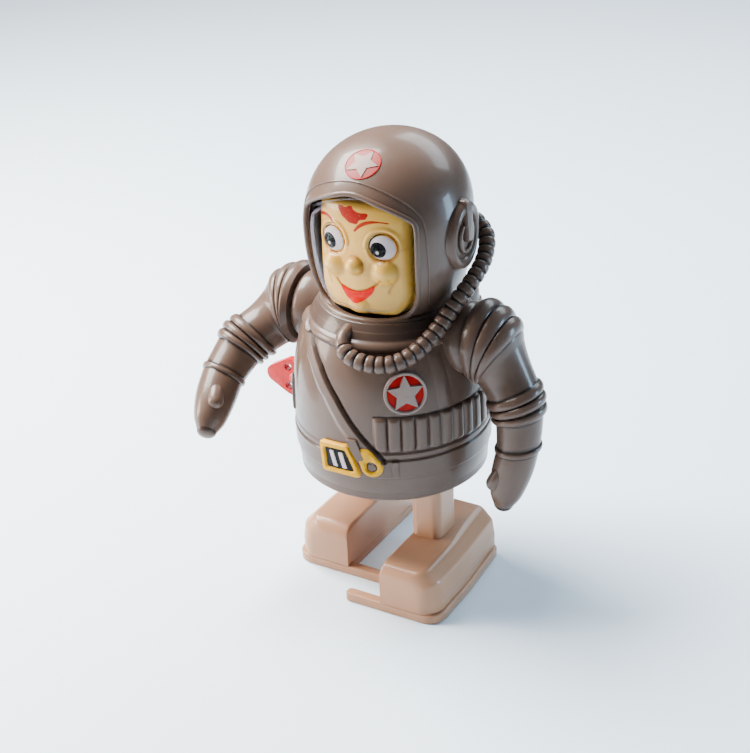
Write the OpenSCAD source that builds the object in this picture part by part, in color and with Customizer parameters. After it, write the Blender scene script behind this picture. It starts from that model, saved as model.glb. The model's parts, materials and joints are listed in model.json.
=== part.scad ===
// Clockwork walking spaceman. Faces -Y, stands on z = 0, its own left is +X.

/* [Helmet] */
// Height from the floor to the crown of the helmet
overall_h = 280; // [278:1:282]
// Radius of the helmet at its widest
helmet_r = 48; // [47:0.5:49]
// Wall of every moulded shell
shell = 2.4; // [2:0.1:2.6]

/* [Torso] */
// Radius of the torso at the belt
torso_r = 58.2; // [57.8:0.1:58.6]
// Radius of the torso where it meets the neck
neck_r = 41; // [40.5:0.5:41.5]
// Height of the shoulder pivots
shoulder_z = 166; // [165:1:167]

/* [Walking] */
// Throw of the cranks, half of one step
crank_throw = 12.3; // [11.8:0.1:12.5]
// Height of the crank shaft
crank_z = 96; // [96:0.5:96.5]

/* [Boots] */
// Height of a boot's flat top
boot_h = 33; // [32:0.5:34]
// Length of a boot from toe to heel
boot_len = 88.5; // [86:0.5:90]
// Thickness of a sole
sole_t = 6; // [5:0.5:7]

/* [Arms] */
// Forward swing of the right arm as the figure stands
right_swing = 48; // [40:1:52]

/* [Hidden] */

// Colours
suit = [0.62, 0.54, 0.51];
boot_colour = [0.80, 0.66, 0.57];
skin = [0.90, 0.76, 0.47];
steel = [0.68, 0.69, 0.70];
brass = [0.80, 0.66, 0.35];

// The figure's middle is moved back by this much, so the origin is below the middle of its box
frame_y = 10.53;

eps = 0.01;

// Heights of the torso
hem_z = 76.5;
body_z = 82;
waist_z = 108;
neck_z = 177;
hem_in = 1.7;
floor_t = 3;

// Helmet
crown_w = 232;
helmet_z0 = 178;
helmet_y = 3.2;
helmet_foot_in = 9.5;
collar_h = 3.5;
collar_r = 42.5;

// Face opening in the helmet: middle height, half height, half width
face_z = 220;
face_hz = 38.5;
face_hx = 35.5;

// Ear cup on the left side, with a shallow dish in its face
ear_at = [3, 227];
ear_r = 18.5;
ear_x = 49.5;
ear_face_x = 51.5;
ear_dish_r = 12;

// Shoulder joints
joint_x = 57;
boss_r = 17;
arm_pin_r = 5;
pin_gap = 0.05;
washer_t = 2;

// Clockwork axes as [y, z] and plate positions
drive_at = [9, 107.5];
crank_at = [-12, crank_z];
drive_teeth = 48;
crank_teeth = 12;
wheel_module = 0.6;
crank_wheel_teeth = 40;
third_teeth = 10;
fly_module = 0.5;
third_wheel_teeth = 36;
fly_teeth = 9;
plate_x = 12;
plate_t = 1.5;
arbor_r = 2.5;
crank_arbor_r = 1.8;
third_arbor_r = 1.2;
fly_arbor_r = 1;

// Angle from the crank shaft's axis up to the third arbor, and on to the governor
third_angle = 110;
fly_angle = 80;
third_at = crank_at + wheel_module * (crank_wheel_teeth + third_teeth) / 2
    * [cos(third_angle), sin(third_angle)];
fly_at = third_at + fly_module * (third_wheel_teeth + fly_teeth) / 2 * [cos(fly_angle), sin(fly_angle)];

// The drive pair's centre distance is set by the two fixed axes
pair_d = norm(drive_at - crank_at);
pair_module = 2 * pair_d / (drive_teeth + crank_teeth);
pair_angle = atan2(crank_at[1] - drive_at[1], crank_at[0] - drive_at[0]);

// Crank pins and legs
disc_x = 14.5;
disc_t = 3;
crank_pin_r = 2.5;
leg_x = 18.5;
post_w = 19.5;
post_y0 = -4;
post_y1 = 20;
post_top = 90;
post_round = 5;
eye_r = 6.5;
eye_t = 6;
slot_gap = 0.9;
eye_notch = 6;

// Boots, about the post's neutral place
toe_y = -43;
outer_x = 57;
toe_bar_w = 6.5;
toe_bar_reach = 25;

// Fasteners
screw_r = 1.3;
head_r = 2.8;
base_screw_y = 46;

// Pack on the back
pack_x = 32;
pack_z0 = 124;
pack_h = 50;

// Air hose route, from the helmet's back round the left shoulder to the chin
hose_r = 5;
hose_sides = 10;
hose_path = [
    [37, 32, 224], [44, 31, 222], [50.5, 26, 217], [53.5, 16, 209.5], [53.5, 4, 203], [51, -7, 196],
    [47.5, -15, 188.5], [45, -22.5, 181], [41, -32, 174], [36, -40.5, 169], [29.5, -47, 166],
    [21.5, -51.5, 165], [13, -54, 166], [5, -54, 168.5], [-1, -51, 172.5],
    [-2.5, -44, 176.5], [-2.2, -37.5, 179]
];

// ---- profiles ----

function torso_at(z) = z < waist_z
    ? torso_r - hem_in * pow((waist_z - z) / (waist_z - body_z), 3)
    : neck_r + (torso_r - neck_r) * pow(max(0, 1 - pow((z - waist_z) / (neck_z - waist_z), 2.8)), 0.92);

// Radius of the helmet at height z, for its outside (inset 0) or a surface inset from it
function helmet_at(z, inset) = z > crown_w
    ? (helmet_r - inset) * sqrt(max(0, 1 - pow((z - crown_w) / (overall_h - inset - crown_w), 2.3)))
    : helmet_r - inset - helmet_foot_in * pow((crown_w - z) / (crown_w - helmet_z0), 2.3);

// Heights spaced closer together towards the top, where the curve is tighter
function rising(z0, z1, steps) = [for (i = [0:steps]) z0 + (z1 - z0) * sin(90 * i / steps)];

module set_down() { translate([0, frame_y, 0]) children(); }

module torso_solid(inset) {
    levels = concat([body_z, 88, 95, waist_z], [for (i = [1:14]) waist_z + (neck_z - waist_z) * i / 14]);
    rotate_extrude($fn = 96)
        polygon(concat([[0, body_z]], [for (z = levels) [torso_at(z) - inset, z]], [[0, neck_z]]));
}

// The helmet's solid of revolution, shrunk by inset all round
module helmet_solid(inset) {
    levels = concat([for (i = [0:5]) helmet_z0 + (crown_w - helmet_z0) * i / 6],
        rising(crown_w, overall_h - inset, 12));
    translate([0, helmet_y, 0]) rotate_extrude($fn = 96)
        polygon(concat([[0, helmet_z0]], [for (z = levels) [helmet_at(z, inset), z]]));
}

// Outline of the face opening: a squarish oval, narrower at the chin
module face_outline(grow) {
    n = 3.2;
    polygon([for (a = [0:7.5:359])
        let (c = cos(a), s = sin(a),
            u = sign(c) * pow(abs(c), 2 / n), v = sign(s) * pow(abs(s), 2 / n),
            taper = 1 - 0.09 * (1 - v) / 2 - 0.12 * pow(max(0, -v), 3))
        [(face_hx + grow) * u * taper, face_z + (face_hz + grow) * v]]);
}

// Prism of the face opening, running forward from y = back
module face_prism(grow, back = 0) {
    translate([0, back, 0]) rotate([90, 0, 0]) linear_extrude(70) face_outline(grow);
}

// A disc or shaft along X from x0 to x1, at yz = [y, z]
module rod(x0, x1, r, yz, fn = 48) {
    translate([x0, yz[0], yz[1]]) rotate([0, 90, 0]) cylinder(r = r, h = x1 - x0, $fn = fn);
}

// Stands a flat outline drawn in [y, z] up along X
module along_x(x0, x1) { translate([x0, 0, 0]) rotate([90, 0, 90]) linear_extrude(x1 - x0) children(); }

module mirrored(side) { if (side > 0) children(); else mirror([1, 0, 0]) children(); }

// ---- body shells ----

module torso_shell() {
    difference() {
        union() {
            torso_solid(0);
            shoulder_bosses(0);
        }
        torso_cavity();
        for (side = [1, -1])
            rod_side(side, 15, joint_x + 1, arm_pin_r + pin_gap, [0, shoulder_z]);
        rod(-70, -20, 4, drive_at);
    }
}

// Seats of the arms, cut back beside the helmet's collar
module shoulder_bosses(inset) {
    difference() {
        for (side = [1, -1])
            rod_side(side, 20 - inset, joint_x - 0.3 - inset, boss_r - inset, [0, shoulder_z]);
        translate([0, helmet_y / 2, 0]) cylinder_ring(collar_r + 0.2 + inset, neck_z - inset, neck_z + boss_r);
    }
}

module cylinder_ring(r, z0, z1) { translate([0, 0, z0]) cylinder(r = r, h = z1 - z0, $fn = 96); }

// A rod on the left (side 1) or right (side -1), measured outwards
module rod_side(side, x0, x1, r, yz) {
    if (side > 0) rod(x0, x1, r, yz); else rod(-x1, -x0, r, yz);
}

module torso_cavity() {
    difference() {
        union() {
            torso_solid(shell);
            cylinder_ring(torso_at(body_z) - shell, body_z - 1, body_z + 1);
            cylinder_ring(neck_r - shell, neck_z - 1, neck_z + 1);
            shoulder_bosses(shell);
        }
        screw_bosses();
    }
}

// Bosses on the shell wall that take the two base screws
module screw_bosses() {
    for (side = [1, -1]) difference() {
        union() {
            translate([0, side * base_screw_y, body_z]) cylinder(r = 4.5, h = 16, $fn = 36);
            translate([-2, side > 0 ? base_screw_y : -60, body_z]) cube([4, 60 - base_screw_y, 16]);
        }
        translate([0, side * base_screw_y, body_z - 1]) cylinder(r = screw_r, h = 12, $fn = 24);
    }
}

module torso_half(side) {
    color(suit) set_down() intersection() {
        torso_shell();
        translate([-80, side > 0 ? 0 : -80, body_z]) cube([160, 80, 120]);
    }
}

module torso_front() { torso_half(-1); }
module torso_back() { torso_half(1); }

module base_plate() {
    rim_r = torso_at(body_z);
    color(suit) set_down() difference() {
        union() {
            cylinder_ring(rim_r - 1, hem_z + 1, hem_z + floor_t);
            difference() {
                rotate_extrude($fn = 96) polygon([
                    [0, hem_z], [rim_r - 1.2, hem_z], [rim_r, hem_z + 1.4], [rim_r, body_z], [0, body_z]]);
                cylinder_ring(rim_r - 3.4, hem_z + floor_t, body_z + 1);
            }
            for (side = [1, -1]) translate([0, side * base_screw_y, hem_z + 1])
                cylinder(r = 6, h = body_z - hem_z - 1, $fn = 36);
        }
        for (side = [1, -1]) {
            leg_slot(side);
            translate([0, side * base_screw_y, 0]) screw_hole(hem_z + 2, body_z + 1);
        }
        for (x = [-7.5, 7.5], y = [-14, 13]) translate([x, y, 0]) screw_hole(hem_z + 1.5, body_z);
    }
}

// Slot for a leg's travel, with a notch in front for the eye that hangs on the crank pin
module leg_slot(side) {
    y0 = post_y0 - crank_throw - slot_gap;
    y1 = post_y1 + crank_throw + slot_gap;
    x0 = leg_x - slot_gap;
    x1 = leg_x + post_w + slot_gap;
    translate([0, 0, hem_z - 1]) mirrored(side) {
        translate([x0, y0]) cube([x1 - x0, y1 - y0, 9]);
        translate([x0, y0 - eye_notch]) cube([eye_t + 2 * slot_gap, eye_notch + 1, 9]);
    }
}

module screw_hole(head_top, top) {
    translate([0, 0, hem_z - 1]) cylinder(r = head_r + 0.2, h = head_top - hem_z + 1, $fn = 36);
    translate([0, 0, hem_z]) cylinder(r = screw_r + 0.1, h = top - hem_z, $fn = 24);
}

module screw(head_top, tip) {
    difference() {
        translate([0, 0, hem_z + 0.2]) cylinder(r = head_r, h = head_top - hem_z - 0.2, $fn = 36);
        translate([-head_r, -0.4, hem_z]) cube([2 * head_r, 0.8, 0.9]);
    }
    translate([0, 0, head_top - eps]) cylinder(r = screw_r, h = tip - head_top, $fn = 24);
}

module base_screws() {
    color(steel) set_down() for (side = [1, -1]) translate([0, side * base_screw_y, 0])
        screw(hem_z + 2, body_z + 10);
}

// ---- head ----

// Round that seats the helmet on the torso, and the hole through it
module collar_disc(r) {
    inner = r < collar_r;
    translate([0, inner ? helmet_y : helmet_y / 2, neck_z - (inner ? 1 : 0)])
        cylinder(r = r, h = collar_h + (inner ? 1 : 0), $fn = 96);
}

module helmet_shell() {
    color(suit) set_down() difference() {
        union() {
            helmet_solid(0);
            collar_disc(collar_r);
        }
        helmet_solid(shell);
        collar_disc(helmet_at(helmet_z0, shell));
        face_prism(0);
    }
}

module visor() {
    color([0.85, 0.92, 0.95, 0.35]) set_down() intersection() {
        difference() { helmet_solid(shell + 0.1); helmet_solid(shell + 1.5); }
        face_prism(2.5, -8);
    }
}

module face_mask() {
    color(skin) set_down() difference() {
        union() {
            face_form(0);
            intersection() {
                helmet_solid(shell);
                translate([-60, -8, 190]) cube([120, 2, 64]);
            }
        }
        face_form(2);
        translate([-60, -6, 150]) cube([120, 80, 120]);
    }
}

// Rounded face with nose and cheeks, shrunk by inset
module face_form(inset) {
    levels = [for (i = [-8:8]) 46 * i / 8.5];
    intersection() {
        union() {
            translate([0, 4, face_z - 3]) rotate_extrude($fn = 72)
                polygon(concat([[0, levels[0]]],
                    [for (h = levels) [36 * sqrt(1 - h * h / 2116) - inset, h]],
                    [[0, levels[16]]]));
            translate([-1, -31, 212]) sphere(r = 5.5 - inset, $fn = 36);
            for (side = [1, -1]) translate([side * 14, -24, 209]) sphere(r = 8.5 - inset, $fn = 36);
        }
        translate([-50, -50, 185 + inset]) cube([100, 60, 70 - 2 * inset]);
    }
}

module ear_cup_left() {
    color(suit) set_down() difference() {
        union() {
            rod(30, ear_x, ear_r, ear_at);
            rod(ear_x - eps, ear_face_x, ear_r - 2.5, ear_at);
        }
        rod(ear_face_x - 1.5, ear_face_x + 1, ear_dish_r, ear_at);
        helmet_solid(0);
        hose_tube();
    }
}

// ---- hose and pack ----

function unit(v) = v / norm(v);
function tangent(i) = unit(hose_path[min(i + 1, len(hose_path) - 1)] - hose_path[max(i - 1, 0)]);
function side_of(t) = unit(cross(t, [0.2, 0.1, 1]));

module hose_tube() {
    rings = [for (i = [0:len(hose_path) - 1])
        let (t = tangent(i), u = side_of(t), v = cross(t, u))
        for (k = [0:hose_sides - 1])
            hose_path[i] + hose_r * (cos(360 * k / hose_sides) * u + sin(360 * k / hose_sides) * v)];
    last = (len(hose_path) - 1) * hose_sides;
    walls = [for (i = [0:len(hose_path) - 2], k = [0:hose_sides - 1])
        let (a = i * hose_sides + k, b = i * hose_sides + (k + 1) % hose_sides)
        [a, b, b + hose_sides, a + hose_sides]];
    polyhedron(rings, concat(walls,
        [[for (k = [hose_sides - 1:-1:0]) k]], [[for (k = [0:hose_sides - 1]) last + k]]), convexity = 6);
}

module air_hose() {
    color(suit) set_down() difference() {
        hose_tube();
        helmet_solid(0);
        torso_solid(0);
        collar_disc(collar_r);
    }
}

module air_pack() {
    color(suit) set_down() difference() {
        union() {
            translate([-pack_x, 30, pack_z0]) cube([2 * pack_x, 24, pack_h]);
            for (side = [1, -1]) translate([side * (pack_x - 13), 50, pack_z0]) {
                cylinder(r = 13, h = pack_h, $fn = 48);
                translate([0, 0, pack_h]) cylinder(r1 = 13, r2 = 9, h = 4, $fn = 48);
            }
        }
        torso_solid(0);
    }
}

// ---- arms ----

// One arm as it hangs at the left, with its pin through the torso wall
module arm_form() {
    upper = [77.5, -1, 146.5];
    elbow = [85, -4.3, 132.5];
    wrist = [87.7, -8.6, 107.5];
    palm = [85.3, -10.8, 95];
    tips = [82.3, -13, 73.2];
    difference() {
        union() {
            blend_balls([63, 0, shoulder_z], 23, upper, 15.5);
            blend_balls(upper, 15.5, elbow, 15);
            blend_balls(elbow, 15, wrist, 12.4);
            blend_balls(palm, 11, tips, 6.4);
            blend_balls([80, -18, 95], 5, [74.5, -20, 84], 4.4);
            blend_balls(wrist, 12.4, palm, 11);
        }
        translate([joint_x - 60, -40, 40]) cube([60, 80, 170]);
    }
    rod(joint_x - 9.5, joint_x + 5, arm_pin_r, [0, shoulder_z]);
}

module blend_balls(a, ra, b, rb) {
    hull() {
        translate(a) sphere(r = ra, $fn = 32);
        translate(b) sphere(r = rb, $fn = 32);
    }
}

module swing_forward(angle) {
    translate([0, 0, shoulder_z]) rotate([-angle, 0, 0]) translate([0, 0, -shoulder_z]) children();
}

module arm_left() { color(suit) set_down() arm_form(); }
module arm_right() { color(suit) set_down() mirror([1, 0, 0]) swing_forward(right_swing) arm_form(); }

module shoulder_washer(side) {
    x1 = joint_x - 0.3 - shell - 0.3;
    color(steel) set_down() difference() {
        rod_side(side, x1 - washer_t, x1, 9, [0, shoulder_z]);
        rod_side(side, x1 - washer_t - 1, x1 + 1, arm_pin_r, [0, shoulder_z]);
    }
}

module shoulder_washer_left() { shoulder_washer(1); }
module shoulder_washer_right() { shoulder_washer(-1); }

// ---- clockwork frame ----

pillar_spots = [[31.5, 107.5], [17, 85.5], [-24, 86.5], [-25, 124], [19, 128]];

module motor_plate(side) {
    x0 = side > 0 ? plate_x : -plate_x - plate_t;
    foot_x = side > 0 ? 4 : -plate_x - plate_t;
    color(steel) set_down() difference() {
        union() {
            along_x(x0, x0 + plate_t) polygon([
                [-28, 83], [20, 83], [35, 97], [35, 117], [24, 132], [-27, 132], [-31, 126], [-31, 88]]);
            for (y = [-20, 7]) {
                translate([x0, y, hem_z + floor_t]) cube([plate_t, 12, 6]);
                translate([foot_x, y, hem_z + floor_t]) cube([plate_x + plate_t - 4, 12, 1.5]);
            }
        }
        rod(x0 - 1, x0 + 3, (side > 0 ? 2 : arbor_r) + pin_gap, drive_at);
        rod(x0 - 1, x0 + 3, crank_arbor_r + pin_gap, crank_at);
        rod(x0 - 1, x0 + 3, third_arbor_r + pin_gap, third_at);
        rod(x0 - 1, x0 + 3, fly_arbor_r + pin_gap, fly_at);
        for (spot = pillar_spots) rod(x0 - 1, x0 + 3, 1.2, spot, 24);
        for (y = [-14, 13]) translate([side * 7.5, y, hem_z]) cylinder(r = screw_r, h = 6, $fn = 24);
    }
}

module motor_plate_left() { motor_plate(1); }
module motor_plate_right() { motor_plate(-1); }

module motor_pillars() {
    color(brass) set_down() for (spot = pillar_spots) {
        rod(-plate_x, plate_x, 2, spot, 24);
        rod(-plate_x - plate_t - 0.6, plate_x + plate_t + 0.6, 1.2, spot, 24);
    }
}

module motor_screws() {
    color(steel) set_down() for (x = [-7.5, 7.5], y = [-14, 13]) translate([x, y, 0])
        screw(hem_z + 1.5, body_z + 0.8);
}

spring_turns = 7;
spring_pitch = 2.15;
spring_r0 = 3.4;
spring_t = 0.5;

function spiral(r, a) = [(r + spring_pitch * a / 360) * cos(a), (r + spring_pitch * a / 360) * sin(a)];

// The strip's inner edge, its tail out to the first pillar, and its outer edge back to the middle
module mainspring() {
    turn_end = 360 * spring_turns;
    tail = pillar_spots[0][0] - drive_at[0] - 2;
    outer_end = spring_r0 + spring_t + spring_pitch * spring_turns;
    color(steel) set_down() translate([0, drive_at[0], drive_at[1]]) along_x(-10.5, -1.5)
        polygon(concat([for (a = [0:15:turn_end]) spiral(spring_r0, a)],
            [[tail, 0], [tail, -1], [outer_end - 0.05, -1]],
            [for (a = [turn_end - 15:-15:0]) spiral(spring_r0 + spring_t, a)]));
}

// ---- gears ----

pressure = 20;
thinning = 0.05;

function inv_deg(t) = t * 180 / PI - atan(t);
function roll(r, rb) = r > rb ? sqrt(r * r / (rb * rb) - 1) : 0;

// Half of a tooth's angle at radius r
function half_tooth(r, teeth, mod) = let (rp = teeth * mod / 2, rb = rp * cos(pressure))
    90 / teeth - thinning / rp * 180 / PI + inv_deg(tan(pressure)) - inv_deg(roll(r, rb));

// Outline of an involute gear whose first tooth points along phase
module gear_outline(teeth, mod, addendum, dedendum, phase) {
    rp = teeth * mod / 2;
    rb = rp * cos(pressure);
    root = rp - dedendum * mod;
    tip = rp + addendum * mod;
    low = max(rb, root);
    radii = concat([root], [for (i = [0:4]) low + (tip - low) * i / 4]);
    polygon([for (k = [0:teeth - 1])
        let (mid = phase + 360 * k / teeth)
        for (s = [-1, 1], i = [0:5])
            let (j = s < 0 ? i : 5 - i, r = radii[j], a = mid + s * half_tooth(r, teeth, mod))
            [r * cos(a), r * sin(a)]]);
}

module gear(x0, x1, teeth, mod, addendum, dedendum, phase, yz) {
    translate([0, yz[0], yz[1]]) along_x(x0, x1) gear_outline(teeth, mod, addendum, dedendum, phase);
}

// Phase of a gear that meshes with one of phase p1 lying in the direction toward
function meshed(p1, n1, n2, toward) = toward + 180 - 360 / n2 * (0.5 - (toward - p1) * n1 / 360);

// Short wheel teeth keep clear of the small pinions' roots
drive_add = 0.7;
wheel_add = 0.6;
fly_add = 0.55;
root_gap = 0.25;

crank_phase = meshed(0, drive_teeth, crank_teeth, pair_angle);
third_phase = meshed(0, crank_wheel_teeth, third_teeth, third_angle);
fly_phase = meshed(0, third_wheel_teeth, fly_teeth, fly_angle);

module great_wheel() {
    color(brass) set_down() difference() {
        union() {
            gear(0.5, 2.5, drive_teeth, pair_module, drive_add, 1 + root_gap, 0, drive_at);
            rod(2.5 - eps, 5.2, 1.2, drive_at + [0, 13.2], 24);
        }
        rod(-1, 6, arbor_r + pin_gap, drive_at);
        for (k = [0:3]) rod(-1, 6, 4.2, drive_at + 11 * [cos(45 + 90 * k), sin(45 + 90 * k)]);
    }
}

module click() {
    color(steel) set_down() difference() {
        along_x(3.1, 4.9) polygon([for (p = [
            [-2.2, 11.6], [0, 10.9], [2.4, 11.6], [4.6, 9.6], [5.4, 9.9], [4.2, 13.6], [1.2, 15.6],
            [-1.6, 15.2], [-2.6, 13.4]]) drive_at + p]);
        rod(2, 6, 1.2, drive_at + [0, 13.2], 24);
    }
}

module winding_arbor() {
    teeth = 12;
    color(steel) set_down() {
        rod(-75, plate_x - 0.2, arbor_r, drive_at);
        rod(plate_x - 0.3, plate_x + plate_t + 0.8, 2, drive_at);
        along_x(3.1, 4.9) polygon([for (k = [0:teeth - 1], s = [0, 1])
            drive_at + (s == 0 ? 9.6 : 8) * [cos(360 * k / teeth + 2 * s), sin(360 * k / teeth + 2 * s)]]);
    }
}

module winding_key() {
    color([0.86, 0.07, 0.07]) set_down() difference() {
        union() {
            rod(-77, -60.5, 5, drive_at);
            translate([0, drive_at[0] + 2.5, drive_at[1]]) rotate([90, 0, 0]) linear_extrude(5) hull() {
                for (z = [-5, 5]) translate([-77, z]) circle(r = 7.5, $fn = 32);
                translate([-89, 0]) circle(r = 6, $fn = 32);
            }
        }
        rod(-75, -60, arbor_r, drive_at);
        for (z = [-6.5, 6.5]) translate([-79, drive_at[0] + 5, drive_at[1] + z]) rotate([90, 0, 0])
            cylinder(r = 2.6, h = 10, $fn = 32);
    }
}

module crank_arbor() {
    color(steel) set_down() {
        rod(-disc_x - disc_t, disc_x + disc_t, crank_arbor_r, crank_at);
        gear(0, 3, crank_teeth, pair_module, 1, drive_add + root_gap, crank_phase, crank_at);
    }
}

module crank_wheel() {
    color(brass) set_down() difference() {
        gear(6.2, 7.6, crank_wheel_teeth, wheel_module, wheel_add, 1 + root_gap, 0, crank_at);
        rod(5, 9, crank_arbor_r, crank_at);
        for (k = [0:3]) rod(5, 9, 2.8, crank_at + 6.8 * [cos(90 * k), sin(90 * k)]);
    }
}

// The left pin stands forward of the shaft and the right pin behind it
module crank(side) {
    pin_at = crank_at - [side * crank_throw, 0];
    color(steel) set_down() {
        difference() {
            union() {
                rod_side(side, disc_x, disc_x + disc_t, crank_throw + 3.5, crank_at);
                rod_side(side, plate_x + plate_t + 0.2, disc_x + 0.1, 4, crank_at);
            }
            rod_side(side, 10, 20, crank_arbor_r, crank_at);
        }
        rod_side(side, disc_x + disc_t - eps, leg_x + eye_t + 2.6, crank_pin_r, pin_at);
    }
}

module crank_left() { crank(1); }
module crank_right() { crank(-1); }

module crank_clip(side) {
    pin_at = crank_at - [side * crank_throw, 0];
    color(brass) set_down() difference() {
        rod_side(side, leg_x + eye_t + 0.6, leg_x + eye_t + 1.8, 4.8, pin_at);
        rod_side(side, leg_x, leg_x + eye_t + 4, crank_pin_r, pin_at);
    }
}

module crank_clip_left() { crank_clip(1); }
module crank_clip_right() { crank_clip(-1); }

module third_arbor() {
    color(steel) set_down() {
        rod(-plate_x - 1.4, plate_x + 1.4, third_arbor_r, third_at);
        gear(5.6, 8.2, third_teeth, wheel_module, 1, wheel_add + root_gap, third_phase, third_at);
    }
}

module third_wheel() {
    color(brass) set_down() difference() {
        gear(9, 10.2, third_wheel_teeth, fly_module, fly_add, 1 + root_gap, 0, third_at);
        rod(8, 12, third_arbor_r, third_at);
        for (k = [0:2]) rod(8, 12, 2.2, third_at + 4.8 * [cos(120 * k), sin(120 * k)]);
    }
}

module governor_arbor() {
    color(steel) set_down() {
        rod(-plate_x - 1.4, plate_x + 1.4, fly_arbor_r, fly_at);
        gear(8.6, 10.7, fly_teeth, fly_module, 1, fly_add + root_gap, fly_phase, fly_at);
    }
}

module governor_flywheel() {
    color(brass) set_down() difference() {
        rod(-6, -1, 6.6, fly_at);
        rod(-8, 1, fly_arbor_r, fly_at);
        for (x = [-7, -2.2]) rod(x, x + 2.2, 5, fly_at);
    }
}

// ---- legs ----

// Cross-section of a boot in [x, z]: upright inside, sloping outside
module boot_section(inset) {
    polygon([
        [leg_x + inset, sole_t], [outer_x - 1.5 - inset, sole_t], [outer_x - 2.5 - inset, 14],
        [outer_x - 5.5 - inset, 24], [outer_x - 8.5 - inset, boot_h - 2 - inset / 2],
        [outer_x - 11 - inset, boot_h - inset], [leg_x + inset, boot_h - inset]]);
}

// Side outline in [y, z]: rounded toe
module boot_side(inset) {
    r = 9;
    polygon(concat(
        [[toe_y + inset, sole_t - 1]],
        [for (a = [180:-15:90]) [toe_y + r + (r - inset) * cos(a), boot_h - r + (r - inset) * sin(a)]],
        [[toe_y + boot_len - inset, boot_h - inset], [toe_y + boot_len - inset, sole_t - 1]]));
}

// Plan outline in [x, y]: a big round at the outer toe corner
module boot_plan(inset, r) {
    x1 = outer_x - inset;
    y0 = toe_y + inset;
    polygon(concat(
        [[leg_x + inset, y0]],
        [for (a = [-90:15:0]) [x1 - r + r * cos(a), y0 + r + r * sin(a)]],
        [[x1 - 4, toe_y + boot_len - inset], [leg_x + inset, toe_y + boot_len - inset]]));
}

module boot_solid(inset) {
    intersection() {
        translate([0, toe_y + boot_len + 5, 0]) rotate([90, 0, 0]) linear_extrude(boot_len + 10) boot_section(inset);
        along_x(leg_x - 5, outer_x + 5) boot_side(inset);
        linear_extrude(boot_h + 5) boot_plan(inset, 13 - inset);
    }
}

// Plan of a leg post, with rounded upright edges
module post_outline(r) {
    x1 = leg_x + post_w;
    translate([leg_x + r, post_y0]) square([post_w - 2 * r, post_y1 - post_y0]);
    translate([leg_x, post_y0 + r]) square([post_w, post_y1 - post_y0 - 2 * r]);
    for (x = [leg_x + r, x1 - r], y = [post_y0 + r, post_y1 - r]) translate([x, y]) circle(r = r, $fn = 32);
}

// Each leg is made at its neutral place, then set forward or back by the crank's throw
module stepped(side) { translate([0, -side * crank_throw, 0]) mirrored(side) children(); }

module leg(side) {
    color(boot_colour) set_down() stepped(side) difference() {
        union() {
            translate([0, 0, boot_h]) linear_extrude(post_top - boot_h) post_outline(post_round);
            along_x(leg_x, leg_x + eye_t) hull() {
                translate(crank_at) circle(r = eye_r, $fn = 32);
                translate([3, 82]) circle(r = 6, $fn = 32);
            }
        }
        rod(leg_x - 1, leg_x + eye_t + 1, crank_pin_r + pin_gap, crank_at);
    }
}

module leg_left() { leg(1); }
module leg_right() { leg(-1); }

module boot(side) {
    color(boot_colour) set_down() stepped(side) difference() {
        boot_solid(0);
        boot_solid(shell);
    }
}

module boot_left() { boot(1); }
module boot_right() { boot(-1); }

// Sole plate with the bar that reaches across to steady the figure on one foot
module sole(side) {
    bar_tip = leg_x - toe_bar_reach + toe_bar_w / 2;
    color(boot_colour) set_down() stepped(side) difference() {
        union() {
            linear_extrude(sole_t) boot_plan(0, 13);
            translate([bar_tip, toe_y, 0]) cube([leg_x - bar_tip + 1, toe_bar_w, sole_t - 0.4]);
            translate([bar_tip, toe_y + toe_bar_w / 2, 0])
                cylinder(r = toe_bar_w / 2, h = sole_t - 0.4, $fn = 36);
        }
        translate([0, 0, sole_t - 3]) linear_extrude(sole_t) boot_plan(5, 8);
    }
}

module sole_left() { sole(1); }
module sole_right() { sole(-1); }

torso_front();
torso_back();
base_plate();
base_screws();
helmet_shell();
visor();
face_mask();
ear_cup_left();
air_hose();
air_pack();
arm_left();
shoulder_washer_left();
arm_right();
shoulder_washer_right();
motor_plate_left();
motor_plate_right();
motor_pillars();
motor_screws();
mainspring();
winding_arbor();
winding_key();
great_wheel();
click();
crank_arbor();
crank_wheel();
crank_left();
crank_right();
crank_clip_left();
crank_clip_right();
third_arbor();
third_wheel();
governor_arbor();
governor_flywheel();
leg_left();
boot_left();
sole_left();
leg_right();
boot_right();
sole_right();
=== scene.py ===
"""Looks of a clockwork walking spaceman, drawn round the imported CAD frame.

Shapes are drawn in millimetres about the figure's own upright axis, facing -Y; piece() turns them into
metres in the frame. Angles round the torso are in degrees, 0 at the front and positive to its left.
"""
import bpy
import bmesh
import json
from math import ceil, cos, degrees, hypot, pi, radians, sin, sqrt
from mathutils import Matrix, Vector, geometry


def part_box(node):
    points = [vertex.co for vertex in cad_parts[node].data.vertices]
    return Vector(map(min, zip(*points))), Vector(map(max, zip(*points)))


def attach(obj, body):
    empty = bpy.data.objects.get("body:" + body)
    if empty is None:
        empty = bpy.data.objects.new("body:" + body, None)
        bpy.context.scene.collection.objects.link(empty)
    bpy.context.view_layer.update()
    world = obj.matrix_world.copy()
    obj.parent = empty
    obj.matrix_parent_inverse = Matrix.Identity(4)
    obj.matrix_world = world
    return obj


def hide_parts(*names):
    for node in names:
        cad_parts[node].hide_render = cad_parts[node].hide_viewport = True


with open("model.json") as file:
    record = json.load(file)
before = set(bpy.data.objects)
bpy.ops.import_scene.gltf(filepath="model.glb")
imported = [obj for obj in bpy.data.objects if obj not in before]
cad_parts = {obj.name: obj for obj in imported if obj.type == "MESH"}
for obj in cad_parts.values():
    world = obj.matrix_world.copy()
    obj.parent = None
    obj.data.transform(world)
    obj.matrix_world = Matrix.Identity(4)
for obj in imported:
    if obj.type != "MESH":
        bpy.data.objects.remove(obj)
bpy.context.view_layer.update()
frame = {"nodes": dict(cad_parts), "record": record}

# ---- sizes, in millimetres ----

MM = 0.001


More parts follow.
